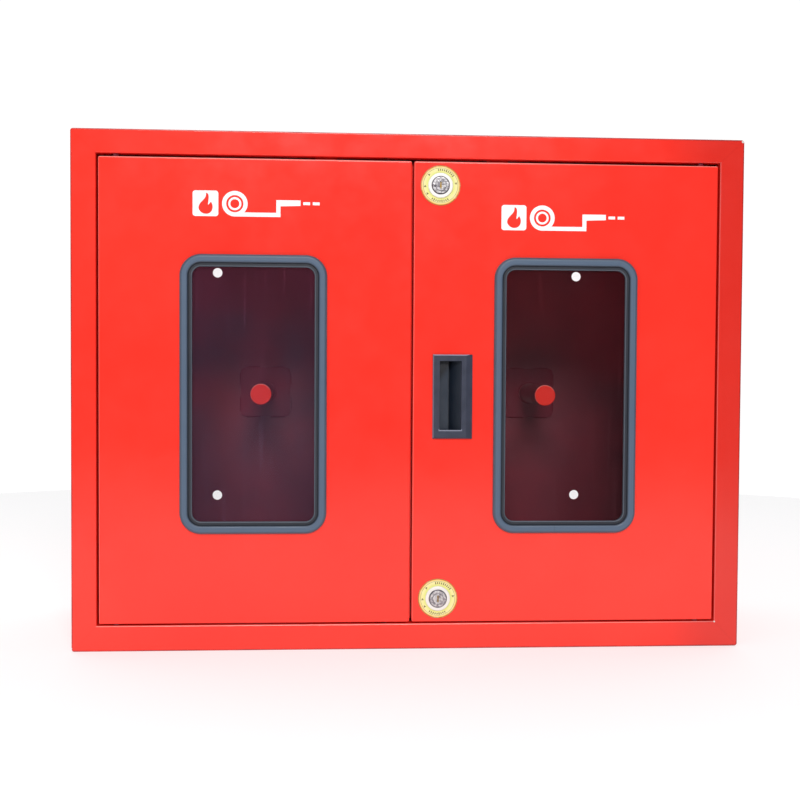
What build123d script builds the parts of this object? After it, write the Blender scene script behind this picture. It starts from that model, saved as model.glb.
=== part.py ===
from build123d import *
import os

# Double-door fire hose cabinet. Folded sheet-steel case with a mitred face frame, two glazed pan-shaped
# leaves on pivot pins, two key-operated cam locks and a flush pull on the right leaf, two slide bolts on the
# left leaf, and two hose pegs on the back panel. Millimetres, +Z up. While a piece is drawn, y = 0 is the
# front face and +Y runs to the back. `write` then moves it so that the origin is the whole's bottom centre.

# ---------------------------------------------------------------- driving dimensions
# case
CASE_WIDTH = 750.0
CASE_HEIGHT = 575.0
CASE_DEPTH = 250.0
SHEET = 1.2
CASE_CORNER_R = 3.0
FOLD_R = 1.6
FRAME_SIDE = 27.5
FRAME_TOP = 26.5
FRAME_BOTTOM = 28.5
REAR_FLANGE = 15.0
PANEL_CLEARANCE = 0.1

# leaves
SIDE_GAP = 2.5
CENTRE_GAP = 2.5
TOP_GAP = 3.5
BOTTOM_GAP = 2.0
LEAF_DEPTH = 15.0
LEAF_LIP = 8.0
LEAF_CORNER_R = 2.0

# glazing
WINDOW_WIDTH = 134.5
WINDOW_HEIGHT = 281.5
WINDOW_CORNER_R = 10.0
WINDOW_BELOW_MIDDLE = 2.75
LEFT_WINDOW_SHIFT = -2.6
RIGHT_WINDOW_SHIFT = -0.4
GASKET_WIDTH = 13.75
GASKET_PROUD = 4.5
GASKET_CROWN_WIDTH = 10.0
GASKET_CROWN_R = 3.4
GASKET_TOE_PROUD = 1.8
GASKET_TOE_R = 1.0
GASKET_REAR = 2.5
GLASS_BITE = 5.0
GASKET_WEB = 2.25
GLASS_THICKNESS = 4.0
RUBBER_CLEARANCE = 0.05
GASKET_JOINT_OFFSET = -11.0
GASKET_JOINT_WIDTH = 0.5
GASKET_JOINT_DEPTH = 0.8

# pivots
PIVOT_INSET = 18.5
PIVOT_CLEARANCE = 0.6
PIN_R = 2.5
PIN_REACH = 8.0
PIN_HEAD_STEP = 2.5
PIN_HEAD = 3.0
WASHER_WIDTH = 1.2
BUSH_WALL = 1.5
BUSH_FLANGE_STEP = 1.2
BUSH_FLANGE = 1.0
BUSH_LENGTH = 7.0
RUNNING_CLEARANCE = 0.05
END_CLEARANCE = 0.2

# door stops and buffers
STOP_X = 96.0
STOP_WIDTH = 24.0
STOP_SHEET = 1.5
STOP_REACH = 16.0
STOP_FOOT = 10.0
BUFFER_R = 4.0
BUFFER_THICKNESS = 0.9
BUFFER_GAP = 0.1

# cam locks
LOCK_INSET_X = 29.3
LOCK_INSET_Z = 26.5
LABEL_R = 22.2
LABEL_THICKNESS = 0.3
BEZEL_R = 14.0
BEZEL_HEIGHT = 1.8
BEZEL_EDGE_R = 1.2
NOSE_R = 9.2
NOSE_HEIGHT = 1.5
NOSE_EDGE_R = 0.5
NOSE_GROOVE_WIDTH = 0.9
NOSE_GROOVE_DEPTH = 0.7
BARREL_R = 9.3
BARREL_FLATS = 16.0
BARREL_BEHIND_HEM = 0.5
BARREL_CLEARANCE = 0.2
NUT_FLATS = 24.0
NUT_THICKNESS = 4.0
PLUG_R = 6.0
PLUG_PROUD = 0.4
PLUG_EDGE_R = 0.3
KEYWAY_WIDTH = 1.5
KEYWAY_HEIGHT = 8.0
KEYWAY_DEPTH = 5.0
TANG_SIDE = 7.0
CAM_LENGTH = 38.0
CAM_WIDTH = 13.0
CAM_HUB_R = 9.0
CAM_THICKNESS = 2.5
CAM_CLEARANCE = 0.4
CAM_SCREW_R = 2.0
CAM_SCREW_LENGTH = 9.0
CAM_SCREW_HEAD_R = 4.2
CAM_SCREW_HEAD = 2.8
CAM_WASHER_R = 5.5
CAM_WASHER = 1.0
SCREW_SLOT_WIDTH = 1.2
SCREW_SLOT_DEPTH = 1.2
ASSEMBLY_CLEARANCE = 0.05

# slide bolts
BOLT_INSET_X = 29.0
BOLT_BEHIND_MIDDLE = 0.5
BOLT_R = 4.0
BOLT_LENGTH = 70.0
BOLT_TIP_CHAMFER = 1.0
BOLT_TIP_INSET = 0.3
BOLT_GUIDE_CLEARANCE = 0.1
BOLT_KEEP_CLEARANCE = 0.5
GUIDE_SHEET = 1.5
GUIDE_WIDTH = 22.0
GUIDE_EAR_WALL = 1.7
GUIDE_FROM_EDGE = 12.0
GUIDE_HEIGHT = 42.0
KNOB_FROM_EDGE = 40.0
KNOB_SHANK_R = 2.0
KNOB_SHANK_IN = 3.0
KNOB_NECK = 2.0
KNOB_R = 4.0
KNOB_LENGTH = 12.0
KNOB_EDGE_R = 1.5

# meeting strip behind the gap between the leaves
STRIP_TIP_CLEARANCE = 0.5
STRIP_END_INSET = 1.5

# flush pull
PULL_WIDTH = 44.5
PULL_HEIGHT = 94.0
PULL_INSET_X = 44.2
PULL_BELOW_MIDDLE = 3.95
PULL_PROUD = 3.0
PULL_EDGE_CHAMFER = 1.2
PULL_SLOPE_WIDTH = 7.2
PULL_SLOPE_DROP = 1.9
PULL_MOUTH_LEFT = 7.6
PULL_MOUTH_WIDTH = 24.5
PULL_MOUTH_TOP = 7.2
PULL_MOUTH_HEIGHT = 77.2
PULL_WALL = 1.5
PULL_FLOOR = 12.5
PULL_LIP_WIDTH = 10.3
PULL_LIP_FRONT = 4.0
PULL_LIP_THICKNESS = 2.0
PULL_RAMP_START = 1.0
PULL_RAMP_FOOT = 12.5
PULL_HOOK_INSET = 1.5
PULL_CUTOUT_CLEARANCE = 0.5
PULL_BARB_HEIGHT = 1.4
PULL_BARB_DEPTH = 4.0
PULL_BARB_LENGTH = 12.0
PULL_BARB_SPACING = 44.0

# hose pegs and wall-fixing holes
PEG_BEYOND_LEAF_MIDDLE = 1.375
PEG_BELOW_MIDDLE = 5.5
PEG_LENGTH = 121.0
PEG_R = 12.7
PEG_WALL = 2.0
PEG_CAP = 2.0
PEG_CAP_CHAMFER = 0.8
PEG_PLATE_SIDE = 64.0
PEG_PLATE = 2.5
PEG_PLATE_CORNER_R = 5.0
WALL_HOLE_R = 6.2
WALL_HOLE_SPACING_X = 475.0
WALL_HOLE_SPACING_Z = 292.0
WALL_HOLE_ABOVE_MIDDLE = 4.0

# printed film on the doors: a flame tile, a coiled hose and a nozzle
FILM_THICKNESS = 0.2
FILM_TILE = 28.0
FILM_TILE_R = 3.0
FILM_COIL_R = 14.0
FILM_HOSE_WIDTH = 4.6
FILM_COIL_GAP = 2.2
FILM_GAP = 4.0
FILM_RUN_LENGTH = 50.0
FILM_NOZZLE_LENGTH = 22.0
FILM_NOZZLE_TIP = 5.0
FILM_DROP_LENGTH = 7.5
FILM_DROP_WIDTH = 3.2
FILM_DROP_GAP = 3.0
FILM_FLAME_SHARE = 0.82
LEFT_FILM_DROP = 50.0
LEFT_FILM_SHIFT = 0.1
RIGHT_FILM_DROP = 61.0
RIGHT_FILM_SHIFT = -4.6

# ---------------------------------------------------------------- worked-out places
OPENING_WIDTH = CASE_WIDTH - 2 * FRAME_SIDE
OPENING_BOTTOM = FRAME_BOTTOM
OPENING_TOP = CASE_HEIGHT - FRAME_TOP
OPENING_HEIGHT = OPENING_TOP - OPENING_BOTTOM
OPENING_Z = (OPENING_TOP + OPENING_BOTTOM) / 2

LEAF_INNER_X = CENTRE_GAP / 2
LEAF_OUTER_X = OPENING_WIDTH / 2 - SIDE_GAP
LEAF_WIDTH = LEAF_OUTER_X - LEAF_INNER_X
LEAF_X = (LEAF_OUTER_X + LEAF_INNER_X) / 2
LEAF_TOP = OPENING_TOP - TOP_GAP
LEAF_BOTTOM = OPENING_BOTTOM + BOTTOM_GAP
LEAF_HEIGHT = LEAF_TOP - LEAF_BOTTOM
LEAF_Z = (LEAF_TOP + LEAF_BOTTOM) / 2

WINDOW_Z = LEAF_Z - WINDOW_BELOW_MIDDLE
HEM_DEPTH = LEAF_DEPTH + BUFFER_GAP + BUFFER_THICKNESS

PIN_HEAD_R = PIN_R + PIN_HEAD_STEP
WASHER_R = PIN_R + WASHER_WIDTH
BUSH_R = PIN_R + BUSH_WALL
BUSH_FLANGE_R = BUSH_R + BUSH_FLANGE_STEP
PIVOT_X = LEAF_OUTER_X - PIVOT_INSET
PIVOT_Y = SHEET + BUSH_FLANGE_R + PIVOT_CLEARANCE

BARREL_LENGTH = HEM_DEPTH + BARREL_BEHIND_HEM
LOCK_X = LEAF_INNER_X + LOCK_INSET_X
BOLT_X = -(LEAF_INNER_X + BOLT_INSET_X)
BOLT_Y = LEAF_DEPTH / 2 + BOLT_BEHIND_MIDDLE
GUIDE_EAR_DEPTH = BOLT_Y + BOLT_R + GUIDE_EAR_WALL - SHEET
PULL_X = LEAF_INNER_X + PULL_INSET_X
PULL_Z = LEAF_Z - PULL_BELOW_MIDDLE
CAM_FRONT = BARREL_LENGTH + CAM_CLEARANCE
CAM_BACK = CAM_FRONT + CAM_THICKNESS

PEG_X = LEAF_X + PEG_BEYOND_LEAF_MIDDLE
PEG_Z = CASE_HEIGHT / 2 - PEG_BELOW_MIDDLE
WALL_HOLE_Z = CASE_HEIGHT / 2 + WALL_HOLE_ABOVE_MIDDLE
LEFT_FILM = (-LEAF_X + LEFT_FILM_SHIFT, LEAF_TOP - LEFT_FILM_DROP)
RIGHT_FILM = (LEAF_X + RIGHT_FILM_SHIFT, LEAF_TOP - RIGHT_FILM_DROP)
LEFT, RIGHT = -1, 1
BOTTOM, TOP = -1, 1


def leaf_edge(end):
    """Height of the leaves' top or bottom edge."""
    return LEAF_TOP if end == TOP else LEAF_BOTTOM


def window_x(side):
    """Middle of a leaf's window."""
    return -LEAF_X + LEFT_WINDOW_SHIFT if side == LEFT else LEAF_X + RIGHT_WINDOW_SHIFT


def opening_edge(end):
    """Height of the case opening's top or bottom edge."""
    return OPENING_TOP if end == TOP else OPENING_BOTTOM


# ---------------------------------------------------------------- drawing helpers
def slab(outline, y_front, y_back, x=0.0, z=0.0):
    """An outline drawn as seen from the front, as a slab between two depths."""
    plane = Plane(origin=(x, y_back, z), x_dir=(1, 0, 0), z_dir=(0, -1, 0))
    return extrude(plane * outline, y_back - y_front)


def post(radius, z_a, z_b, x, y):
    """An upright cylinder between two heights."""
    low, high = min(z_a, z_b), max(z_a, z_b)
    return Pos(x, y, (low + high) / 2) * Cylinder(radius, high - low)


def block(x_a, x_b, y_a, y_b, z_a, z_b):
    """A box between two corners, given in any order."""
    size = abs(x_b - x_a), abs(y_b - y_a), abs(z_b - z_a)
    return Pos((x_a + x_b) / 2, (y_a + y_b) / 2, (z_a + z_b) / 2) * Box(*size)


def front_edges(shape):
    """The edges in a shape's foremost plane."""
    return shape.edges().group_by(Axis.Y)[0]


def window_outline(margin):
    """The visible glass's outline, grown by a margin all round."""
    return RectangleRounded(WINDOW_WIDTH + 2 * margin, WINDOW_HEIGHT + 2 * margin, WINDOW_CORNER_R + margin)


def frame_ring(inset_out, inset_in, y_front, y_back):
    """A window-shaped ring, given by how far its outer and inner outlines lie outside the glass."""
    return slab(window_outline(inset_out) - window_outline(inset_in), y_front, y_back)


# ---------------------------------------------------------------- case
def case_shell():
    """The four welded channels of the case in one piece, before the mitre cuts."""
    middle = CASE_HEIGHT / 2
    outer = slab(RectangleRounded(CASE_WIDTH, CASE_HEIGHT, CASE_CORNER_R), 0, CASE_DEPTH, z=middle)
    outer = fillet(front_edges(outer), FOLD_R)
    inner_width, inner_height = CASE_WIDTH - 2 * SHEET, CASE_HEIGHT - 2 * SHEET
    inner = RectangleRounded(inner_width, inner_height, CASE_CORNER_R - SHEET)
    shell = outer - slab(inner, SHEET, CASE_DEPTH, z=middle)

    flange_hole = Rectangle(inner_width - 2 * REAR_FLANGE, inner_height - 2 * REAR_FLANGE)
    shell += slab(inner - flange_hole, CASE_DEPTH - 2 * SHEET, CASE_DEPTH - SHEET, z=middle)

    hem = Rectangle(OPENING_WIDTH + 2 * SHEET, OPENING_HEIGHT + 2 * SHEET)
    shell += slab(hem, SHEET / 2, HEM_DEPTH, z=OPENING_Z)
    shell -= slab(Rectangle(OPENING_WIDTH, OPENING_HEIGHT), 0, HEM_DEPTH, z=OPENING_Z)
    opening_edges = [
        edge
        for edge in front_edges(shell)
        if abs(edge.center().X) < OPENING_WIDTH / 2 + FOLD_R / 2
        and abs(edge.center().Z - OPENING_Z) < OPENING_HEIGHT / 2 + FOLD_R / 2
    ]
    return fillet(opening_edges, FOLD_R)


def hem_holes(end):
    """Holes through the top or bottom hem for the pivot pins and the slide bolt."""
    edge = opening_edge(end)
    low, high = edge - 2 * SHEET, edge + 2 * SHEET
    holes = post(BOLT_R + BOLT_KEEP_CLEARANCE, low, high, BOLT_X, BOLT_Y)
    for side in (LEFT, RIGHT):
        holes += post(PIN_R + RUNNING_CLEARANCE, low, high, side * PIVOT_X, PIVOT_Y)
    return holes


def mitre_line(side, end):
    """Mitre cut at one corner, which halves the case's corner rounding and the opening's folds."""
    outer_x, outer_z = side * CASE_WIDTH / 2, CASE_HEIGHT if end == TOP else 0.0
    inner_x, inner_z = side * OPENING_WIDTH / 2, opening_edge(end)
    outer_step, inner_step = CASE_CORNER_R + FOLD_R, FOLD_R + SHEET
    return [
        (outer_x, outer_z),
        (outer_x - side * outer_step, outer_z - end * outer_step),
        (inner_x + side * inner_step, inner_z + end * inner_step),
        (inner_x, inner_z),
    ]


def case_panels():
    """Top, bottom and side channels, mitred from the case's corners to the opening's corners."""
    lines = {(side, end): mitre_line(side, end) for side in (LEFT, RIGHT) for end in (BOTTOM, TOP)}
    sides = {
        "top_panel": ((LEFT, TOP), (RIGHT, TOP)),
        "bottom_panel": ((LEFT, BOTTOM), (RIGHT, BOTTOM)),
        "left_side_panel": ((LEFT, BOTTOM), (LEFT, TOP)),
        "right_side_panel": ((RIGHT, BOTTOM), (RIGHT, TOP)),
    }
    shell = case_shell()
    panels = {}
    for name, (start, stop) in sides.items():
        sector = make_face(Polyline(*lines[start], *reversed(lines[stop]), close=True))
        panels[name] = shell & slab(sector, 0, CASE_DEPTH)
    panels["top_panel"] -= hem_holes(TOP)
    panels["bottom_panel"] -= hem_holes(BOTTOM)
    return panels


def back_panel():
    """Flat back sheet, welded on the rear flanges, with the four wall-fixing holes."""
    width = CASE_WIDTH - 2 * (SHEET + PANEL_CLEARANCE)
    height = CASE_HEIGHT - 2 * (SHEET + PANEL_CLEARANCE)
    corner = CASE_CORNER_R - SHEET
    sheet = slab(RectangleRounded(width, height, corner), CASE_DEPTH - SHEET, CASE_DEPTH, z=CASE_HEIGHT / 2)
    for x in (-WALL_HOLE_SPACING_X / 2, WALL_HOLE_SPACING_X / 2):
        for z in (-WALL_HOLE_SPACING_Z / 2, WALL_HOLE_SPACING_Z / 2):
            sheet -= slab(Circle(WALL_HOLE_R), CASE_DEPTH - SHEET, CASE_DEPTH, x, WALL_HOLE_Z + z)
    return sheet


def door_stops():
    """Angle tabs behind the hems that stop each leaf flush with the frame."""
    stops = []
    for end in (BOTTOM, TOP):
        hem_back = opening_edge(end) + end * SHEET
        for side in (LEFT, RIGHT):
            x_a, x_b = side * STOP_X - STOP_WIDTH / 2, side * STOP_X + STOP_WIDTH / 2
            foot_top = hem_back + end * STOP_SHEET
            leg = block(x_a, x_b, HEM_DEPTH, HEM_DEPTH + STOP_SHEET, foot_top, hem_back - end * STOP_REACH)
            foot = block(x_a, x_b, HEM_DEPTH - STOP_FOOT, HEM_DEPTH, hem_back, foot_top)
            stops.append(leg + foot)
    return Compound(stops)


def door_buffers():
    """Thin rubber discs on the stops, under the leaves' return lips."""
    front = LEAF_DEPTH + BUFFER_GAP
    buffers = []
    for end in (BOTTOM, TOP):
        for side in (LEFT, RIGHT):
            z = leaf_edge(end) - end * (BUFFER_R + SHEET / 2)
            buffers.append(slab(Circle(BUFFER_R), front, HEM_DEPTH, side * STOP_X, z))
    return Compound(buffers)


def hose_peg(side):
    """One peg as its base plate, tube and welded end cap."""
    plate_back = CASE_DEPTH - SHEET
    plate_front = plate_back - PEG_PLATE
    cap_front = plate_back - PEG_LENGTH
    x = side * PEG_X
    plate = RectangleRounded(PEG_PLATE_SIDE, PEG_PLATE_SIDE, PEG_PLATE_CORNER_R)
    tube = Circle(PEG_R) - Circle(PEG_R - PEG_WALL)
    cap = slab(Circle(PEG_R), cap_front, cap_front + PEG_CAP, x, PEG_Z)
    return {
        "peg_plate": slab(plate, plate_front, plate_back, x, PEG_Z),
        "hose_peg": slab(tube, cap_front + PEG_CAP, plate_front, x, PEG_Z),
        "peg_cap": chamfer(front_edges(cap), PEG_CAP_CHAMFER),
    }


# ---------------------------------------------------------------- pivots
def hinge_pins():
    """Headed pins standing in the hems, on which the leaves turn."""
    pins = []
    for end in (BOTTOM, TOP):
        seat = opening_edge(end) + end * SHEET
        for side in (LEFT, RIGHT):
            x = side * PIVOT_X
            shank = post(PIN_R, seat, leaf_edge(end) - end * PIN_REACH, x, PIVOT_Y)
            pins.append(shank + post(PIN_HEAD_R, seat, seat + end * PIN_HEAD, x, PIVOT_Y))
    return Compound(pins)


def hinge_washers():
    """Spacing washers on the pins, between the hems and the leaves."""
    washers = []
    for end in (BOTTOM, TOP):
        near, far = opening_edge(end), leaf_edge(end) + end * END_CLEARANCE
        for side in (LEFT, RIGHT):
            x = side * PIVOT_X
            hole = post(PIN_R + ASSEMBLY_CLEARANCE, near, far, x, PIVOT_Y)
            washers.append(post(WASHER_R, near, far, x, PIVOT_Y) - hole)
    return Compound(washers)


def hinge_bushes(side):
    """Flanged bushes in a leaf's top and bottom flanges."""
    bushes = []
    x = side * PIVOT_X
    for end in (BOTTOM, TOP):
        edge = leaf_edge(end)
        seat, inside = edge - end * SHEET, edge - end * BUSH_LENGTH
        bush = post(BUSH_R, edge, inside, x, PIVOT_Y)
        bush += post(BUSH_FLANGE_R, seat, seat - end * BUSH_FLANGE, x, PIVOT_Y)
        bushes.append(bush - post(PIN_R + RUNNING_CLEARANCE, edge, inside, x, PIVOT_Y))
    return Compound(bushes)


# ---------------------------------------------------------------- leaves
def barrel_outline(clearance=0.0):
    """Round lock barrel with two flats."""
    flats = BARREL_FLATS + 2 * clearance
    return Circle(BARREL_R + clearance) & Rectangle(flats, 3 * BARREL_R)


def lock_z(end):
    """Height of the upper or lower lock's axis."""
    return leaf_edge(end) - end * LOCK_INSET_Z


def pull_cup_size():
    """Outside width and height of the flush pull's cup."""
    return PULL_MOUTH_WIDTH + 2 * PULL_WALL, PULL_MOUTH_HEIGHT + 2 * PULL_WALL


def pull_cup_centre():
    """Centre of the flush pull's mouth, seen from the front."""
    x = PULL_X - PULL_WIDTH / 2 + PULL_MOUTH_LEFT + PULL_MOUTH_WIDTH / 2
    z = PULL_Z + PULL_HEIGHT / 2 - PULL_MOUTH_TOP - PULL_MOUTH_HEIGHT / 2
    return x, z


def door_leaf(side):
    """Pan-shaped leaf with folded flanges, return lips, window and hardware holes."""
    x = side * LEAF_X
    pan = slab(RectangleRounded(LEAF_WIDTH, LEAF_HEIGHT, LEAF_CORNER_R), 0, LEAF_DEPTH, x, LEAF_Z)
    pan = fillet(front_edges(pan), FOLD_R)
    inside = Rectangle(LEAF_WIDTH - 2 * SHEET, LEAF_HEIGHT - 2 * SHEET)
    mouth = Rectangle(LEAF_WIDTH - 2 * LEAF_LIP, LEAF_HEIGHT - 2 * LEAF_LIP)
    pan -= slab(inside, SHEET, LEAF_DEPTH - SHEET, x, LEAF_Z)
    pan -= slab(mouth, LEAF_DEPTH - SHEET, LEAF_DEPTH, x, LEAF_Z)
    window = window_outline(GLASS_BITE + GASKET_WEB + RUBBER_CLEARANCE)
    pan -= slab(window, 0, SHEET, window_x(side), WINDOW_Z)
    for end in (BOTTOM, TOP):
        edge = leaf_edge(end)
        through = edge - end * 2 * SHEET
        pan -= post(BUSH_R + ASSEMBLY_CLEARANCE, edge, through, side * PIVOT_X, PIVOT_Y)
        if side == LEFT:
            pan -= post(BOLT_R + BOLT_GUIDE_CLEARANCE, edge, through, BOLT_X, BOLT_Y)
        else:
            pan -= slab(barrel_outline(BARREL_CLEARANCE), 0, SHEET, LOCK_X, lock_z(end))
    if side == RIGHT:
        width, height = (size + 2 * PULL_CUTOUT_CLEARANCE for size in pull_cup_size())
        pan -= slab(Rectangle(width, height), 0, SHEET, *pull_cup_centre())
    return pan


def window_gasket(side):
    """Two-groove rubber profile that grips the leaf's cut-out and the glass, butted in its bottom run."""
    web_in, web_out = GLASS_BITE, GLASS_BITE + GASKET_WEB
    crown_in = GASKET_WIDTH - GASKET_CROWN_WIDTH
    rear = GLASS_THICKNESS + GASKET_REAR
    crown = frame_ring(GASKET_WIDTH, crown_in, -GASKET_PROUD, 0)
    crown = fillet(front_edges(crown), GASKET_CROWN_R)
    toe = frame_ring(crown_in, 0, -GASKET_TOE_PROUD, 0)
    toe = fillet(toe.faces().sort_by(Axis.Y)[0].inner_wires()[0].edges(), GASKET_TOE_R)
    gasket = crown + toe
    gasket += frame_ring(web_out, web_in, 0, rear)
    gasket += frame_ring(GASKET_WIDTH, web_out, SHEET, rear)
    gasket += frame_ring(web_in, GASKET_TOE_R, GLASS_THICKNESS, rear)
    joint = Rectangle(GASKET_JOINT_WIDTH, GASKET_WIDTH)
    joint_z = -(WINDOW_HEIGHT + GASKET_WIDTH) / 2
    gasket -= slab(joint, -GASKET_PROUD, GASKET_JOINT_DEPTH - GASKET_PROUD, GASKET_JOINT_OFFSET, joint_z)
    return Pos(window_x(side), 0, WINDOW_Z) * gasket


def window_glass(side):
    """Flat pane held in the gasket's inner groove."""
    pane = window_outline(GLASS_BITE - RUBBER_CLEARANCE)
    return slab(pane, 0, GLASS_THICKNESS, window_x(side), WINDOW_Z)


def meeting_strip():
    """Flat strip on the left leaf's lip that closes the sight line through the centre gap."""
    left = -(LEAF_INNER_X + LEAF_LIP)
    right = LEAF_INNER_X - STRIP_TIP_CLEARANCE
    low, high = LEAF_BOTTOM + STRIP_END_INSET, LEAF_TOP - STRIP_END_INSET
    return block(left, right, LEAF_DEPTH, LEAF_DEPTH + SHEET, low, high)


# ---------------------------------------------------------------- flush pull
def flush_pull():
    """Moulded pull: bevelled bezel, cup with a ramped floor, finger lip and snap barbs."""
    cup_width, cup_height = pull_cup_size()
    cup_x, cup_z = pull_cup_centre()
    left, right = PULL_X - PULL_WIDTH / 2, PULL_X + PULL_WIDTH / 2
    bezel = slab(Rectangle(PULL_WIDTH, PULL_HEIGHT), -PULL_PROUD, 0, PULL_X, PULL_Z)
    bezel = chamfer(front_edges(bezel), PULL_EDGE_CHAMFER)
    slope = Polyline(
        (right - PULL_SLOPE_WIDTH, -PULL_PROUD),
        (right, -PULL_PROUD + PULL_SLOPE_DROP),
        (right, -2 * PULL_PROUD),
        (right - PULL_SLOPE_WIDTH, -2 * PULL_PROUD),
        close=True,
    )
    bezel -= Pos(0, 0, PULL_Z - PULL_HEIGHT / 2) * extrude(make_face(slope), PULL_HEIGHT)

    floor_back = PULL_FLOOR + PULL_WALL
    body = bezel + slab(Rectangle(cup_width, cup_height), 0, floor_back, cup_x, cup_z)
    mouth_left = left + PULL_MOUTH_LEFT
    mouth_right = mouth_left + PULL_MOUTH_WIDTH
    lip_edge = mouth_left + PULL_LIP_WIDTH
    lip_back = PULL_LIP_FRONT + PULL_LIP_THICKNESS
    cavity = Polyline(
        (mouth_left, -PULL_PROUD),
        (mouth_left, PULL_LIP_FRONT),
        (lip_edge, PULL_LIP_FRONT),
        (lip_edge, lip_back),
        (mouth_left + PULL_HOOK_INSET, lip_back),
        (mouth_left + PULL_HOOK_INSET, PULL_FLOOR),
        (mouth_right - PULL_RAMP_FOOT, PULL_FLOOR),
        (mouth_right, PULL_RAMP_START),
        (mouth_right, -PULL_PROUD),
        close=True,
    )
    body -= Pos(0, 0, cup_z - PULL_MOUTH_HEIGHT / 2) * extrude(make_face(cavity), PULL_MOUTH_HEIGHT)

    for side in (LEFT, RIGHT):
        wall = cup_x + side * cup_width / 2
        wedge = Polyline(
            (wall, SHEET + PULL_BARB_DEPTH),
            (wall + side * PULL_BARB_HEIGHT, SHEET),
            (wall, SHEET),
            close=True,
        )
        for end in (BOTTOM, TOP):
            z = cup_z + end * PULL_BARB_SPACING / 2 - PULL_BARB_LENGTH / 2
            barb = extrude(make_face(wedge), PULL_BARB_LENGTH)
            body += Pos(0, 0, z - barb.bounding_box().min.Z) * barb
    return body


# ---------------------------------------------------------------- cam locks
def lock_label(end):
    """Printed ring stuck round the lock."""
    ring = Circle(LABEL_R) - Circle(BARREL_R + BARREL_CLEARANCE)
    return slab(ring, -LABEL_THICKNESS, 0, LOCK_X, lock_z(end))


def lock_housing(end):
    """Bezel, raised nose and flatted barrel, bored for the plug."""
    at = LOCK_X, lock_z(end)
    bezel_front = -LABEL_THICKNESS - BEZEL_HEIGHT
    nose_front = bezel_front - NOSE_HEIGHT
    bezel = slab(Circle(BEZEL_R), bezel_front, -LABEL_THICKNESS, *at)
    bezel = fillet(front_edges(bezel), BEZEL_EDGE_R)
    groove = Circle(NOSE_R + NOSE_GROOVE_WIDTH) - Circle(NOSE_R)
    bezel -= slab(groove, bezel_front, bezel_front + NOSE_GROOVE_DEPTH, *at)
    nose = slab(Circle(NOSE_R), nose_front, bezel_front + NOSE_GROOVE_DEPTH, *at)
    nose = fillet(front_edges(nose), NOSE_EDGE_R)
    barrel = slab(barrel_outline(), -LABEL_THICKNESS, BARREL_LENGTH, *at)
    return bezel + nose + barrel - slab(Circle(PLUG_R + RUNNING_CLEARANCE), nose_front, BARREL_LENGTH, *at)


def lock_nut(end):
    """Hexagon nut that clamps the housing to the leaf."""
    hexagon = RegularPolygon(NUT_FLATS / 2, 6, major_radius=False)
    hole = Circle(BARREL_R + ASSEMBLY_CLEARANCE)
    return slab(hexagon - hole, SHEET, SHEET + NUT_THICKNESS, LOCK_X, lock_z(end))


def lock_plug(end):
    """Keyed plug with a square tang for the cam. It turns in the housing."""
    at = LOCK_X, lock_z(end)
    front = -LABEL_THICKNESS - BEZEL_HEIGHT - NOSE_HEIGHT - PLUG_PROUD
    plug = slab(Circle(PLUG_R), front, CAM_FRONT, *at)
    plug = fillet(front_edges(plug), PLUG_EDGE_R)
    plug += slab(Rectangle(TANG_SIDE, TANG_SIDE), CAM_FRONT, CAM_BACK, *at)
    plug -= slab(Rectangle(KEYWAY_WIDTH, KEYWAY_HEIGHT), front, front + KEYWAY_DEPTH, *at)
    screw_hole = Circle(CAM_SCREW_R + ASSEMBLY_CLEARANCE)
    return plug - slab(screw_hole, CAM_BACK - CAM_SCREW_LENGTH, CAM_BACK, *at)


def lock_cam(end):
    """Flat cam. It lies across the leaf when unlocked and turns behind the frame's hem to lock."""
    tip = CAM_LENGTH - CAM_WIDTH / 2
    arm = Pos(tip / 2, 0) * Rectangle(tip, CAM_WIDTH) + Pos(tip, 0) * Circle(CAM_WIDTH / 2)
    hole_side = TANG_SIDE + 2 * ASSEMBLY_CLEARANCE
    outline = Circle(CAM_HUB_R) + arm - Rectangle(hole_side, hole_side)
    return slab(outline, CAM_FRONT, CAM_BACK, LOCK_X, lock_z(end))


def lock_washer(end):
    """Washer that holds the cam on the tang."""
    ring = Circle(CAM_WASHER_R) - Circle(CAM_SCREW_R + ASSEMBLY_CLEARANCE)
    return slab(ring, CAM_BACK, CAM_BACK + CAM_WASHER, LOCK_X, lock_z(end))


def lock_screw(end):
    """Slotted screw into the end of the plug."""
    at = LOCK_X, lock_z(end)
    head_front = CAM_BACK + CAM_WASHER
    head_back = head_front + CAM_SCREW_HEAD
    head = slab(Circle(CAM_SCREW_HEAD_R), head_front, head_back, *at)
    shank = slab(Circle(CAM_SCREW_R), CAM_BACK - CAM_SCREW_LENGTH, head_front, *at)
    slot = Rectangle(2 * CAM_SCREW_HEAD_R, SCREW_SLOT_WIDTH)
    return head + shank - slab(slot, head_back - SCREW_SLOT_DEPTH, head_back, *at)


# ---------------------------------------------------------------- slide bolts
def bolt_guide(end):
    """Welded strap with two ears that guide the rod."""
    near = leaf_edge(end) - end * GUIDE_FROM_EDGE
    far = near - end * GUIDE_HEIGHT
    half = GUIDE_WIDTH / 2
    left, right = BOLT_X - half, BOLT_X + half
    guide = block(left, right, SHEET, SHEET + GUIDE_SHEET, near, far)
    for z in (near, far + end * GUIDE_SHEET):
        guide += block(left, right, SHEET, SHEET + GUIDE_EAR_DEPTH, z, z - end * GUIDE_SHEET)
    return guide - post(BOLT_R + BOLT_GUIDE_CLEARANCE, near, far, BOLT_X, BOLT_Y)


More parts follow.
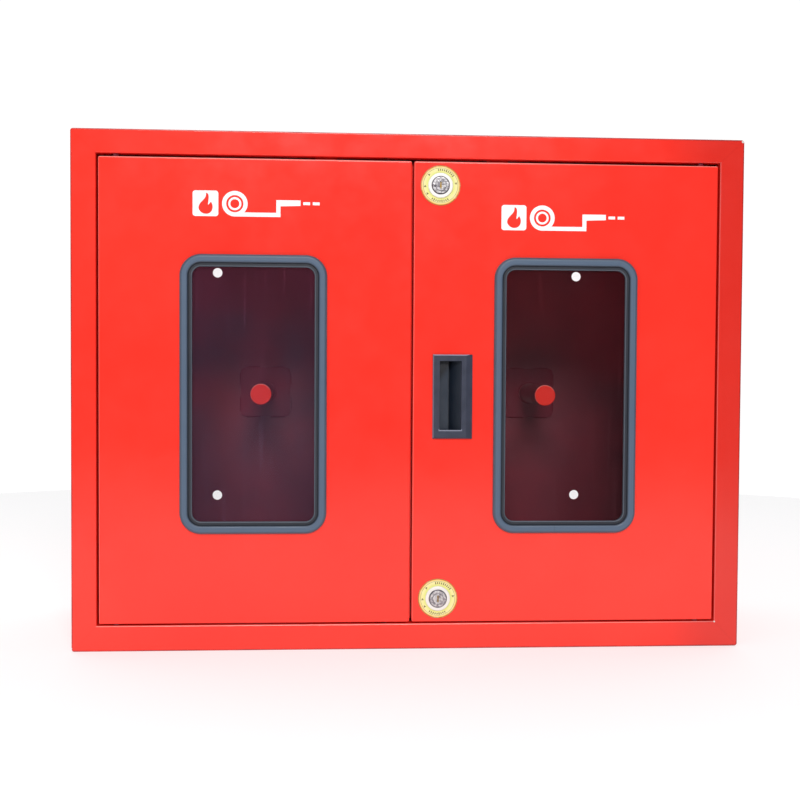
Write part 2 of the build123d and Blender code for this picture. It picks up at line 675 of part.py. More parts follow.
def bolt_rod(end):
    """Round rod with a chamfered nose and a cross hole for the knob."""
    nose = leaf_edge(end) - end * BOLT_TIP_INSET
    rod = post(BOLT_R, nose, nose - end * BOLT_LENGTH, BOLT_X, BOLT_Y)
    tip = rod.edges().filter_by(GeomType.CIRCLE).sort_by(Axis.Z)[-1 if end == TOP else 0]
    rod = chamfer(tip, BOLT_TIP_CHAMFER)
    knob_z = leaf_edge(end) - end * KNOB_FROM_EDGE
    hole_front = BOLT_Y + BOLT_R - KNOB_SHANK_IN
    return rod - slab(Circle(KNOB_SHANK_R + ASSEMBLY_CLEARANCE), hole_front, BOLT_Y + BOLT_R, BOLT_X, knob_z)


def bolt_knob(end):
    """Finger knob screwed into the rod."""
    at = BOLT_X, leaf_edge(end) - end * KNOB_FROM_EDGE
    grip_front = BOLT_Y + BOLT_R + KNOB_NECK
    grip = slab(Circle(KNOB_R), grip_front, grip_front + KNOB_LENGTH, *at)
    grip = fillet(grip.edges().group_by(Axis.Y)[-1], KNOB_EDGE_R)
    return grip + slab(Circle(KNOB_SHANK_R), BOLT_Y + BOLT_R - KNOB_SHANK_IN, grip_front, *at)


# ---------------------------------------------------------------- printed film
def flame_outline(height):
    """A plain pointed flame with one inner notch, centred on its own box."""
    points = [
        (0.02, 0.50),
        (-0.06, 0.22),
        (-0.24, 0.02),
        (-0.33, -0.22),
        (-0.18, -0.44),
        (0.02, -0.50),
        (0.24, -0.42),
        (0.34, -0.18),
        (0.25, 0.08),
        (0.13, -0.06),
        (0.15, 0.22),
    ]
    first, rest = points[0], points[1:]
    left = Spline(*[(x * height, y * height) for x, y in (first, *rest[:8])])
    right = Spline(*[(x * height, y * height) for x, y in (rest[7], rest[8], rest[9], first)])
    return make_face([left, right])


def film_outline():
    """Flame tile, coiled hose, hose run, nozzle and two drops, in a row centred on the origin."""
    reach = FILM_COIL_R - FILM_HOSE_WIDTH
    tile = RectangleRounded(FILM_TILE, FILM_TILE, FILM_TILE_R) - flame_outline(FILM_TILE * FILM_FLAME_SHARE)
    coil = Circle(FILM_COIL_R) - Circle(reach)
    coil += Circle(reach - FILM_COIL_GAP) - Circle(reach - FILM_COIL_GAP - FILM_HOSE_WIDTH / 2)
    run_z = -FILM_COIL_R + FILM_HOSE_WIDTH / 2
    run = Pos(FILM_RUN_LENGTH / 2, run_z) * Rectangle(FILM_RUN_LENGTH, FILM_HOSE_WIDTH)
    rise_height = FILM_HOSE_WIDTH - run_z
    rise = Pos(FILM_RUN_LENGTH - FILM_HOSE_WIDTH / 2, run_z / 2) * Rectangle(FILM_HOSE_WIDTH, rise_height)
    nozzle_start, nozzle_end = FILM_RUN_LENGTH - FILM_HOSE_WIDTH, FILM_RUN_LENGTH + FILM_NOZZLE_LENGTH
    nozzle = make_face(
        Polyline(
            (nozzle_start, FILM_HOSE_WIDTH),
            (nozzle_start, -FILM_HOSE_WIDTH / 2),
            (nozzle_end, FILM_HOSE_WIDTH / 2 - FILM_NOZZLE_TIP * 3 / 4),
            (nozzle_end, FILM_HOSE_WIDTH),
            close=True,
        )
    )
    hose = coil + run + rise + nozzle
    for count in range(2):
        drop = Rectangle(FILM_DROP_LENGTH, FILM_DROP_WIDTH)
        x = nozzle_end + FILM_DROP_GAP + FILM_DROP_LENGTH / 2
        x += count * (FILM_DROP_LENGTH + FILM_DROP_GAP)
        hose += Pos(x, FILM_HOSE_WIDTH / 4) * drop
    row = Pos(-FILM_TILE / 2 - FILM_GAP - FILM_COIL_R, 0) * tile + hose
    box = row.bounding_box()
    return Pos(-(box.min.X + box.max.X) / 2, -(box.min.Y + box.max.Y) / 2) * row


def door_film(place):
    """The film on one door."""
    return slab(film_outline(), -FILM_THICKNESS, 0, *place)


# ---------------------------------------------------------------- output
def cabinet():
    """Every piece of the cabinet, by name."""
    pieces = case_panels()
    pieces["back_panel"] = back_panel()
    pieces["hinge_pins"] = hinge_pins()
    pieces["hinge_washers"] = hinge_washers()
    pieces["door_stops"] = door_stops()
    pieces["door_buffers"] = door_buffers()
    for word, side in (("left", LEFT), ("right", RIGHT)):
        for name, piece in hose_peg(side).items():
            pieces[f"{word}_{name}"] = piece
        pieces[f"{word}_door_leaf"] = door_leaf(side)
        pieces[f"{word}_window_gasket"] = window_gasket(side)
        pieces[f"{word}_window_glass"] = window_glass(side)
        pieces[f"{word}_hinge_bushes"] = hinge_bushes(side)
    pieces["left_door_film"] = door_film(LEFT_FILM)
    pieces["right_door_film"] = door_film(RIGHT_FILM)
    pieces["meeting_strip"] = meeting_strip()
    pieces["flush_pull"] = flush_pull()
    for word, end in (("bottom", BOTTOM), ("top", TOP)):
        pieces[f"{word}_lock_label"] = lock_label(end)
        pieces[f"{word}_lock_housing"] = lock_housing(end)
        pieces[f"{word}_lock_nut"] = lock_nut(end)
        pieces[f"{word}_lock_plug"] = lock_plug(end)
        pieces[f"{word}_lock_cam"] = lock_cam(end)
        pieces[f"{word}_lock_washer"] = lock_washer(end)
        pieces[f"{word}_lock_screw"] = lock_screw(end)
        pieces[f"{word}_bolt_guide"] = bolt_guide(end)
        pieces[f"{word}_bolt_rod"] = bolt_rod(end)
        pieces[f"{word}_bolt_knob"] = bolt_knob(end)
    return pieces


def write(pieces, folder="parts"):
    """Write one STEP file for each piece, in the cabinet's own frame."""
    os.makedirs(folder, exist_ok=True)
    to_origin = Pos(0, -(CASE_DEPTH - GASKET_PROUD) / 2, 0)
    for name, piece in pieces.items():
        export_step(to_origin * piece, f"{folder}/{name}.step")


write(cabinet())
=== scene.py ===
import math

import bpy
from bpy.props import FloatProperty, FloatVectorProperty, IntProperty, PointerProperty
from mathutils import Matrix, Vector


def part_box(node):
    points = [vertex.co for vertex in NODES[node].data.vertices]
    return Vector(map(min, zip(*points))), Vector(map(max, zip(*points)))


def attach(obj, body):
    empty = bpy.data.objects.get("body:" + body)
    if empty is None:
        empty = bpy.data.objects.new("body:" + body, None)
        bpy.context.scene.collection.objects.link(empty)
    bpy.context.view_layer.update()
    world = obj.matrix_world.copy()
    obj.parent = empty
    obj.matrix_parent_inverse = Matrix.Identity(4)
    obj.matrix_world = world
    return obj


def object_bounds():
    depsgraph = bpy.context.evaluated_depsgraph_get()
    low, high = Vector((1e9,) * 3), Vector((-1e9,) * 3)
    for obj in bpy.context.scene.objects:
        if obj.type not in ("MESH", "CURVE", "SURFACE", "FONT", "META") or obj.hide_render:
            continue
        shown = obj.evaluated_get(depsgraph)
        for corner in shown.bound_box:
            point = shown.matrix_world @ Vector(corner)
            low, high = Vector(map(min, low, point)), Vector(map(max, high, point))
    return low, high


bl_info = {
    "name": "Fire Hose Cabinet Finish",
    "version": (1, 0, 0),
    "blender": (4, 5, 0),
    "location": "3D View > Sidebar > Hose Cabinet",
    "description": "Enamel, glazing, locks, welds and labels for a double-door fire hose cabinet",
    "category": "Object",
}

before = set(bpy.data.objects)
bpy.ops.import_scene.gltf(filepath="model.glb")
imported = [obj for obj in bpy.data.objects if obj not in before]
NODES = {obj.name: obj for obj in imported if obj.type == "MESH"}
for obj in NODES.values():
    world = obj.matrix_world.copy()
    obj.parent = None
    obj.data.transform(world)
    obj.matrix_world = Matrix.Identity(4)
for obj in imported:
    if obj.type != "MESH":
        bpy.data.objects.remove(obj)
CAD_BOX = [list(corner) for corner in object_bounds()]

# ---------------------------------------------------------------- places read from the frame
MM = 0.001
CASE_SIDE, CASE_BACK, CASE_TOP = CAD_BOX[1]
RIGHT_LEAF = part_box("right_door_leaf")
FRONT = RIGHT_LEAF[0].y
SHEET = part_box("back_panel")[1].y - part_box("back_panel")[0].y
LEAF_GAP = {"side": 2.5 * MM, "bottom": 2.0 * MM, "top": 3.5 * MM}
OPENING_SIDE = RIGHT_LEAF[1].x + LEAF_GAP["side"]
OPENING_BOTTOM = RIGHT_LEAF[0].z - LEAF_GAP["bottom"]
OPENING_TOP = RIGHT_LEAF[1].z + LEAF_GAP["top"]
SIDES = ("left", "right")
ENDS = ("bottom", "top")

# ---------------------------------------------------------------- sizes of the finish
FLANGE_MIDDLE = 8.5 * MM  # from the case's outside to the line of spot welds
SPOT_PITCH = 55  # millimetres, the default of the spot-weld setting
DENT_RADIUS = 3.2 * MM
GASKET_CORNER = 23.75 * MM  # the window rubber's outer corner radius
NOSE_RING = 9.7 * MM  # radii of the painted shade rings at the seams round a lock's nose and plug
PLUG_RING = 6.1 * MM
PANE_HAZE = {"left": 0.075, "right": 0.05}  # share of each pane that the haze hides: partly dust, partly painted reflection
TICK_GROUPS = (-8.0, 152.0)  # degrees clockwise from the top at which each group of ticks starts
TICK_STEP = 7.5
SHORT_TICK = 0.8  # share of a long tick's length
ARROW_ANGLES = (82.0, 238.0, 266.0, 312.0)
PRINT_THICKNESS = 0.1 * MM
PRINT_INSET = 0.8 * MM  # from the middle of the printed ring towards the lock


def centre(node):
    """Middle of a CAD node's box."""
    low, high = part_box(node)
    return (low + high) / 2


def linear(code):
    """An sRGB hex colour as linear red, green, blue and an alpha of one."""
    channels = [int(code[start : start + 2], 16) / 255 for start in (1, 3, 5)]
    return (*[c / 12.92 if c <= 0.04045 else ((c + 0.055) / 1.055) ** 2.4 for c in channels], 1.0)


def colour_property(name, description, code):
    """A colour that a user would change, with its default given as sRGB hex."""
    return FloatVectorProperty(
        name=name, description=description, default=linear(code)[:3], size=3, subtype="COLOR", min=0, max=1
    )


def length_property(name, description, millimetres):
    """A length that a user would change, with its default given in millimetres."""
    return FloatProperty(name=name, description=description, default=millimetres * MM, min=0, unit="LENGTH")


def power_property(name, description, watts):
    """A light's power that a user would change."""
    return FloatProperty(name=name, description=description, default=watts, unit="POWER")


# ---------------------------------------------------------------- what a user would change
class CabinetPaint(bpy.types.PropertyGroup):
    """Colours and grain of the paint, rubber, glass and plastic."""

    enamel: colour_property("Enamel", "Gloss enamel outside and on the pegs", "#f83022")
    # Painted shade: the darker red inside the case, on the pegs, their plates, the hinge washers and welds.
    painted_inside_shade: colour_property("Inside shade", "Darker enamel inside the case, painted shade", "#7a2433")
    rubber: colour_property("Window rubber", "Extruded rubber round the panes", "#53657a")
    plastic: colour_property("Pull plastic", "Moulded flush pull and bolt knobs", "#2b3040")
    # The pane haze colours are partly dust and partly a painted reflection of the room.
    left_pane: colour_property("Left pane haze", "Dust haze on the left glass", "#6f5c78")
    right_pane: colour_property("Right pane haze", "Dust haze on the right glass", "#744850")
    orange_peel: length_property("Orange peel", "Spacing of the enamel's orange peel", 2.6)
    waviness: length_property("Panel waviness", "Spacing of the sheet's slight waves", 95)


class CabinetLabels(bpy.types.PropertyGroup):
    """Colours and marks of the printed film."""

    film: colour_property("Film", "Cut white film on the doors", "#fdfdfd")
    label: colour_property("Label", "Printed ring round each lock", "#f3e7a0")
    label_rim: colour_property("Label rim", "Printed edge of the ring", "#ecb04e")
    mark: colour_property("Marks", "Printed ticks on the ring", "#5f5a20")
    ticks: IntProperty(name="Ticks", description="Ticks in each group", default=9, min=2, max=20)
    tick_length: length_property("Tick length", "Radial length of a long tick", 2.6)
    tick_width: length_property("Tick width", "Width of a tick", 1.1)
    arrow_size: length_property("Arrow size", "Radius of a printed arrowhead", 1.6)


class CabinetWelds(bpy.types.PropertyGroup):
    """Sizes of the weld beads and spot welds."""

    bead_radius: length_property("Bead radius", "Radius of a weld bead", 1.7)
    ripple: length_property("Ripple", "Spacing of the ripples along a bead", 2.4)
    spot_radius: length_property("Spot radius", "Radius of a spot-weld dimple", 2.6)
    spot_pitch: length_property("Spot pitch", "Spacing of the spot welds", SPOT_PITCH)


class CabinetStudio(bpy.types.PropertyGroup):
    """The stage's lights and floor."""

    front_power: power_property("Front light", "Light above the camera", 102)
    top_power: power_property("Top light", "Light above the front", 5)
    side_power: power_property("Side light", "Large light at the left", 7)
    floor: colour_property("Floor", "Plain pale floor", "#f6f6f6")


# ---------------------------------------------------------------- node helper
# A Map Range node's inputs: 0 is the value, 1 and 2 the range it comes from, 3 and 4 the range it goes to.
# A Mix node's inputs for colour: 0 is the share, 6 and 7 are the two colours.
def add(tree, kind, inputs=None, **settings):
    """Add a node with its settings. An input is a value, a socket, or a node for its first output."""
    node = tree.nodes.new(kind)
    for name, setting in settings.items():
        setattr(node, name, setting)
    for key, value in (inputs or {}).items():
        if isinstance(value, bpy.types.Node):
            value = next(socket for socket in value.outputs if socket.enabled)
        if isinstance(value, bpy.types.NodeSocket):
            tree.links.new(value, node.inputs[key])
        else:
            node.inputs[key].default_value = value
    return node


def new_material(name):
    """An empty node material, its tree, and the shaded point in the frame's metres."""
    material = bpy.data.materials.new(name)
    material.use_nodes = True
    tree = material.node_tree
    tree.nodes.clear()
    return material, tree, add(tree, "ShaderNodeTexCoord").outputs["Object"]


def rgba(colour):
    """A colour property's value with an alpha of one."""
    return (*colour, 1.0)


# ---------------------------------------------------------------- masks on the cabinet's own shape
def from_lock_axis(tree, place, end):
    """Distance from a lock's axis, across the front."""
    middle = centre(f"{end}_lock_label")
    offset = add(tree, "ShaderNodeVectorMath", {0: place, 1: middle}, operation="SUBTRACT")
    flat = add(tree, "ShaderNodeVectorMath", {0: offset, 1: (1, 0, 1)}, operation="MULTIPLY")
    return add(tree, "ShaderNodeVectorMath", {0: flat}, operation="LENGTH")


def spots(tree, place, places, edge):
    """Ragged spots, 1 inside and 0 outside: each is a centre and a radius."""
    wobble = add(tree, "ShaderNodeTexNoise", {"Vector": place, "Scale": 1 / edge, "Detail": 3.0})
    centred = {0: wobble.outputs["Color"], 1: (0.5, 0.5, 0.5)}
    shift = add(tree, "ShaderNodeVectorMath", centred, operation="SUBTRACT")
    ragged = {0: shift, 1: (edge, edge, edge), 2: place}
    moved = add(tree, "ShaderNodeVectorMath", ragged, operation="MULTIPLY_ADD")
    mask = None
    for middle, radius in places:
        away = add(tree, "ShaderNodeVectorMath", {0: moved, 1: middle}, operation="DISTANCE")
        spot = add(tree, "ShaderNodeMapRange", {0: away, 1: radius * 0.8, 2: radius, 3: 1.0, 4: 0.0})
        if mask is not None:
            spot = add(tree, "ShaderNodeMath", {0: mask, 1: spot}, operation="MAXIMUM")
        mask = spot
    return mask


def case_chips():
    """Where the enamel is chipped to the steel: small knocks at the frame's corners."""
    return [
        (Vector((OPENING_SIDE + 0.6 * MM, FRONT + 0.8 * MM, OPENING_BOTTOM - 0.4 * MM)), 1.2 * MM),
        (Vector((CASE_SIDE - 2.0 * MM, FRONT + 0.8 * MM, CASE_TOP - 2.2 * MM)), 1.7 * MM),
        (Vector((CASE_SIDE - 0.9 * MM, FRONT + 1.2 * MM, CASE_TOP - 11.0 * MM)), 0.9 * MM),
        (Vector((-CASE_SIDE + 0.9 * MM, FRONT + 1.2 * MM, 3.5 * MM)), 1.2 * MM),
        (Vector((CASE_SIDE - 0.5 * MM, CASE_BACK - 0.5 * MM, 2.0 * MM)), 2.2 * MM),
        (Vector((-CASE_SIDE + 0.4 * MM, CASE_BACK - 0.6 * MM, CASE_TOP - 1.5 * MM)), 1.8 * MM),
    ]


def inside_mask(tree, place):
    """1 inside the closed case, rising behind the frame's hems, and 0 on every outside face."""
    axes = add(tree, "ShaderNodeSeparateXYZ", {0: place}).outputs
    from_middle = add(tree, "ShaderNodeMath", {0: axes["X"]}, operation="ABSOLUTE")
    behind_hems = {0: axes["Y"], 1: FRONT + 15 * MM, 2: FRONT + 34 * MM}
    mask = add(tree, "ShaderNodeMapRange", behind_hems, interpolation_type="SMOOTHSTEP")
    skin = SHEET * 0.6
    limits = (
        (axes["Y"], "LESS_THAN", CASE_BACK - skin),
        (from_middle, "LESS_THAN", CASE_SIDE - skin),
        (axes["Z"], "GREATER_THAN", skin),
        (axes["Z"], "LESS_THAN", CASE_TOP - skin),
    )
    for along, side, limit in limits:
        within = add(tree, "ShaderNodeMath", {0: along, 1: limit}, operation=side)
        mask = add(tree, "ShaderNodeMath", {0: mask, 1: within}, operation="MULTIPLY")
    return mask


def painted_fold_shade(tree, place):
    """1 along the case's outer front folds, where shade is painted, and 0 elsewhere."""
    axes = add(tree, "ShaderNodeSeparateXYZ", {0: place}).outputs
    from_middle = add(tree, "ShaderNodeMath", {0: axes["X"]}, operation="ABSOLUTE")
    from_side = add(tree, "ShaderNodeMath", {0: CASE_SIDE, 1: from_middle}, operation="SUBTRACT")
    from_top = add(tree, "ShaderNodeMath", {0: CASE_TOP, 1: axes["Z"]}, operation="SUBTRACT")
    upper = add(tree, "ShaderNodeMath", {0: from_side, 1: from_top}, operation="MINIMUM")
    nearest = add(tree, "ShaderNodeMath", {0: upper, 1: axes["Z"]}, operation="MINIMUM")
    by_fold = {0: nearest, 1: 0.8 * MM, 2: 2.4 * MM, 3: 1.0, 4: 0.0}
    edge = add(tree, "ShaderNodeMapRange", by_fold, interpolation_type="SMOOTHSTEP")
    by_front = {0: axes["Y"], 1: FRONT + 1.5 * MM, 2: FRONT + 3.5 * MM, 3: 1.0, 4: 0.0}
    at_front = add(tree, "ShaderNodeMapRange", by_front, interpolation_type="SMOOTHSTEP")
    return add(tree, "ShaderNodeMath", {0: edge, 1: at_front}, operation="MULTIPLY")


def spot_weld_dents(tree, place):
    """1 in the round spot-weld dents that fix the back panel to the rear flanges, along all four edges."""
    pitch = SPOT_PITCH * MM
    axes = add(tree, "ShaderNodeSeparateXYZ", {0: place}).outputs
    from_middle = add(tree, "ShaderNodeMath", {0: axes["X"]}, operation="ABSOLUTE")
    beside = {0: CASE_SIDE - FLANGE_MIDDLE, 1: from_middle}
    from_side = add(tree, "ShaderNodeMath", beside, operation="SUBTRACT")
    above = add(tree, "ShaderNodeMath", {0: axes["Z"], 1: FLANGE_MIDDLE}, operation="SUBTRACT")
    from_low = add(tree, "ShaderNodeMath", {0: above}, operation="ABSOLUTE")
    below = add(tree, "ShaderNodeMath", {0: axes["Z"], 1: CASE_TOP - FLANGE_MIDDLE}, operation="SUBTRACT")
    from_high = add(tree, "ShaderNodeMath", {0: below}, operation="ABSOLUTE")
    from_end = add(tree, "ShaderNodeMath", {0: from_low, 1: from_high}, operation="MINIMUM")
    dents = []
    for along, aside in ((axes["X"], from_end), (axes["Z"], from_side)):
        nearest = add(tree, "ShaderNodeMath", {0: along, 1: pitch / 2}, operation="PINGPONG")
        offset = add(tree, "ShaderNodeCombineXYZ", {"X": nearest, "Y": aside})
        away = add(tree, "ShaderNodeVectorMath", {0: offset}, operation="LENGTH")
        round_edge = {0: away, 1: DENT_RADIUS * 0.7, 2: DENT_RADIUS, 3: 1.0, 4: 0.0}
        dents.append(add(tree, "ShaderNodeMapRange", round_edge, interpolation_type="SMOOTHSTEP"))
    at_back = add(tree, "ShaderNodeMath", {0: axes["Y"], 1: CASE_BACK - 0.3 * MM}, operation="GREATER_THAN")
    either = add(tree, "ShaderNodeMath", {0: dents[0], 1: dents[1]}, operation="MAXIMUM")
    return add(tree, "ShaderNodeMath", {0: at_back, 1: either}, operation="MULTIPLY")


def painted_fold_highlight(tree):
    """1 on the narrow folds that face up or left at the front, where a highlight is painted into the
    colour.
    """
    normal = add(tree, "ShaderNodeTexCoord").outputs["Normal"]
    axes = add(tree, "ShaderNodeSeparateXYZ", {0: normal}).outputs
    forward = add(tree, "ShaderNodeMath", {0: axes["Y"], 1: -1.0}, operation="MULTIPLY")
    smooth = {"interpolation_type": "SMOOTHSTEP"}
    at_front = add(tree, "ShaderNodeMapRange", {0: forward, 1: 0.2, 2: 0.45}, **smooth)
    upward = add(tree, "ShaderNodeMapRange", {0: axes["Z"], 1: 0.2, 2: 0.5}, **smooth)
    by_left = {0: axes["X"], 1: -0.2, 2: -0.6, 3: 0.0, 4: 0.45}
    leftward = add(tree, "ShaderNodeMapRange", by_left, **smooth)
    either = add(tree, "ShaderNodeMath", {0: upward, 1: leftward}, operation="MAXIMUM")
    return add(tree, "ShaderNodeMath", {0: at_front, 1: either}, operation="MULTIPLY")


def mitre_seam(tree, place):
    """1 on the ground-down weld seams that run across the frame from corner to corner."""
    axes = add(tree, "ShaderNodeSeparateXYZ", {0: place}).outputs
    from_middle = add(tree, "ShaderNodeMath", {0: axes["X"]}, operation="ABSOLUTE")
    from_side = add(tree, "ShaderNodeMath", {0: CASE_SIDE, 1: from_middle}, operation="SUBTRACT")
    across = add(tree, "ShaderNodeMath", {0: from_side, 1: CASE_SIDE - OPENING_SIDE}, operation="DIVIDE")
    from_top = add(tree, "ShaderNodeMath", {0: CASE_TOP, 1: axes["Z"]}, operation="SUBTRACT")
    down = add(tree, "ShaderNodeMath", {0: from_top, 1: CASE_TOP - OPENING_TOP}, operation="DIVIDE")
    up = add(tree, "ShaderNodeMath", {0: axes["Z"], 1: OPENING_BOTTOM}, operation="DIVIDE")
    from_seams = []
    for share in (down, up):
        past = add(tree, "ShaderNodeMath", {0: across, 1: share}, operation="SUBTRACT")
        from_seams.append(add(tree, "ShaderNodeMath", {0: past}, operation="ABSOLUTE"))
    nearest = add(tree, "ShaderNodeMath", {0: from_seams[0], 1: from_seams[1]}, operation="MINIMUM")
    by_seam = {0: nearest, 1: 0.02, 2: 0.09, 3: 1.0, 4: 0.0}
    line = add(tree, "ShaderNodeMapRange", by_seam, interpolation_type="SMOOTHSTEP")
    on_frame = add(tree, "ShaderNodeMath", {0: across, 1: 1.05}, operation="LESS_THAN")
    return add(tree, "ShaderNodeMath", {0: line, 1: on_frame}, operation="MULTIPLY")


def painted_cup_shadow(tree, place):
    """1 in the flush pull's slot and under its upper end, where shadow is painted, and 0 on its bezel."""
    low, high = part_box("flush_pull")
    lean = 1.2
    smooth = {"interpolation_type": "SMOOTHSTEP"}
    axes = add(tree, "ShaderNodeSeparateXYZ", {0: place}).outputs
    into_cup = {0: axes["Y"], 1: FRONT - 1.0 * MM, 2: FRONT + 3.0 * MM}
    deep = add(tree, "ShaderNodeMapRange", into_cup, **smooth)
    leaned = add(tree, "ShaderNodeMath", {0: axes["X"], 1: -lean}, operation="MULTIPLY")
    leaning = add(tree, "ShaderNodeMath", {0: axes["Z"], 1: leaned}, operation="ADD")
    top_left = high.z - lean * (low.x + 8 * MM)
    by_top = {0: leaning, 1: top_left - 34 * MM, 2: top_left - 22 * MM, 3: 0.0, 4: 0.93}
    under = add(tree, "ShaderNodeMapRange", by_top, **smooth)
    by_slot = {0: axes["X"], 1: low.x + 16 * MM, 2: low.x + 20 * MM, 3: 0.0, 4: 0.45}
    slot = add(tree, "ShaderNodeMapRange", by_slot, **smooth)
    darker = add(tree, "ShaderNodeMath", {0: under, 1: slot}, operation="MAXIMUM")
    return add(tree, "ShaderNodeMath", {0: deep, 1: darker}, operation="MULTIPLY")


def painted_edge_highlights(tree, place):
    """1 on the flush pull's upper and left bevels and its mouth's lower edge, where highlights are painted.
    """
    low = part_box("flush_pull")[0]
    mouth_foot, mouth_middle = low.z + 9.6 * MM, low.x + 19.85 * MM
    smooth = {"interpolation_type": "SMOOTHSTEP"}
    axes = add(tree, "ShaderNodeSeparateXYZ", {0: place}).outputs
    by_front = {0: axes["Y"], 1: FRONT - 1.5 * MM, 2: FRONT, 3: 1.0, 4: 0.0}
    outermost = add(tree, "ShaderNodeMapRange", by_front)
    bevels = add(tree, "ShaderNodeMath", {0: outermost, 1: painted_fold_highlight(tree)}, operation="MULTIPLY")
    above_foot = add(tree, "ShaderNodeMath", {0: axes["Z"], 1: mouth_foot}, operation="SUBTRACT")
    from_foot = add(tree, "ShaderNodeMath", {0: above_foot}, operation="ABSOLUTE")
    aside = add(tree, "ShaderNodeMath", {0: axes["X"], 1: mouth_middle}, operation="SUBTRACT")
    from_mouth = add(tree, "ShaderNodeMath", {0: aside}, operation="ABSOLUTE")
    by_foot = {0: from_foot, 1: 0.7 * MM, 2: 1.5 * MM, 3: 0.8, 4: 0.0}
    at_foot = add(tree, "ShaderNodeMapRange", by_foot, **smooth)
    by_mouth = {0: from_mouth, 1: 12.0 * MM, 2: 14.0 * MM, 3: 1.0, 4: 0.0}
    beside = add(tree, "ShaderNodeMapRange", by_mouth, **smooth)
    edge = add(tree, "ShaderNodeMath", {0: at_foot, 1: beside}, operation="MULTIPLY")
    foot = add(tree, "ShaderNodeMath", {0: outermost, 1: edge}, operation="MULTIPLY")
    return add(tree, "ShaderNodeMath", {0: bevels, 1: foot}, operation="MAXIMUM")


# ---------------------------------------------------------------- materials
def enamel(paint, name, of_case=False, shaded_everywhere=False):
    """Gloss enamel sprayed on sheet steel: saturated, wet-looking, with fine orange peel and slight waves.

    On the case it is darker inside as painted shade and duller there, has painted shade along its outer
    front folds and on the face of its right end, and is chipped at corners. Folds that face up or left
    get a painted highlight. With shaded_everywhere the darker inside colour, painted shade, covers it all.
    """
    material, tree, place = new_material(name)
    tint = {"data_type": "RGBA", "blend_type": "MULTIPLY"}
    full, inner = rgba(paint.enamel), rgba(paint.painted_inside_shade)
    cloud = add(tree, "ShaderNodeTexNoise", {"Vector": place, "Scale": 1 / (180 * MM), "Detail": 3.0})
    pale = add(tree, "ShaderNodeMix", {0: 1.0, 6: full, 7: (1.03, 1.25, 1.25, 1)}, **tint)
    clouded = add(tree, "ShaderNodeMapRange", {0: cloud, 1: 0.35, 2: 0.7})
    colour = add(tree, "ShaderNodeMix", {0: clouded, 6: full, 7: pale}, data_type="RGBA")
    # The inside shade colour, painted shade, with random bluish patches.
    patch = add(tree, "ShaderNodeTexNoise", {"Vector": place, "Scale": 1 / (60 * MM), "Detail": 4.0})
    streaked = add(tree, "ShaderNodeMix", {0: 1.0, 6: inner, 7: (0.72, 0.8, 0.85, 1)}, **tint)
    patched = add(tree, "ShaderNodeMapRange", {0: patch, 1: 0.35, 2: 0.65})
    inside_shade_colour = add(tree, "ShaderNodeMix", {0: patched, 6: inner, 7: streaked}, data_type="RGBA")
    smeared = {"Vector": place, "Scale": 1 / (34 * MM), "Detail": 5.0, "Roughness": 0.6}
    smear = add(tree, "ShaderNodeTexNoise", smeared)
    gloss = add(tree, "ShaderNodeMapRange", {0: smear, 1: 0.3, 2: 0.75, 3: 0.17, 4: 0.27})
    waves = add(tree, "ShaderNodeTexNoise", {"Vector": place, "Scale": 1 / paint.waviness, "Detail": 1.0})
    peel = add(tree, "ShaderNodeTexNoise", {"Vector": place, "Scale": 1 / paint.orange_peel, "Detail": 1.5})
    if of_case:
        inside = inside_mask(tree, place)
        dull = add(tree, "ShaderNodeMath", {0: inside, 1: 0.42}, operation="MULTIPLY")
        gloss = add(tree, "ShaderNodeMath", {0: gloss, 1: dull}, operation="MAXIMUM")
        wet = add(tree, "ShaderNodeMapRange", {0: inside, 1: 0.0, 2: 1.0, 3: 1.0, 4: 0.0})
        peel = add(tree, "ShaderNodeMath", {0: peel, 1: wet}, operation="MULTIPLY")
    normal = add(tree, "ShaderNodeBump", {"Height": waves, "Distance": 0.5 * MM, "Strength": 1.0})
    relief = {"Height": peel, "Distance": 0.035 * MM, "Strength": 0.55, "Normal": normal}
    normal = add(tree, "ShaderNodeBump", relief)
    # Painted highlight: folds that face up or left are mixed halfway towards pale pink.
    painted_highlight = {0: 0.5, 6: colour, 7: linear("#ffb4a8")}
    painted_shine = add(tree, "ShaderNodeMix", painted_highlight, data_type="RGBA")
    colour = add(tree, "ShaderNodeMix", {0: painted_fold_highlight(tree), 6: colour, 7: painted_shine}, data_type="RGBA")
    if shaded_everywhere:
        colour = inside_shade_colour
    if of_case:
        # Painted shade: inside the case the colour turns to the darker inside shade.
        colour = add(tree, "ShaderNodeMix", {0: inside, 6: colour, 7: inside_shade_colour}, data_type="RGBA")
        colour = paint_case_shade(tree, place, colour, smear)
        seam = mitre_seam(tree, place)
        ground = add(tree, "ShaderNodeMix", {0: 1.0, 6: colour, 7: (0.97, 0.93, 0.93, 1)}, **tint)
        colour = add(tree, "ShaderNodeMix", {0: seam, 6: colour, 7: ground}, data_type="RGBA")
        relief = {"Height": seam, "Distance": 0.015 * MM, "Strength": 0.4, "Normal": normal}
        normal = add(tree, "ShaderNodeBump", relief)
        dents = spot_weld_dents(tree, place)
        hollows = add(tree, "ShaderNodeMath", {0: dents, 1: -1.0}, operation="MULTIPLY")
        relief = {"Height": hollows, "Distance": 0.5 * MM, "Strength": 1.0, "Normal": normal}
        normal = add(tree, "ShaderNodeBump", relief)
        bare = spots(tree, place, case_chips(), 1.4 * MM)
        colour = add(tree, "ShaderNodeMix", {0: bare, 6: colour, 7: linear("#d9d2cb")}, data_type="RGBA")
        steel = add(tree, "ShaderNodeMath", {0: bare, 1: 0.45}, operation="MULTIPLY")
        gloss = add(tree, "ShaderNodeMath", {0: gloss, 1: steel}, operation="MAXIMUM")
    inputs = {"Base Color": colour, "Roughness": gloss, "IOR": 1.5, "Normal": normal}
    coat = add(tree, "ShaderNodeBsdfPrincipled", inputs)
    add(tree, "ShaderNodeOutputMaterial", {"Surface": coat})
    return material


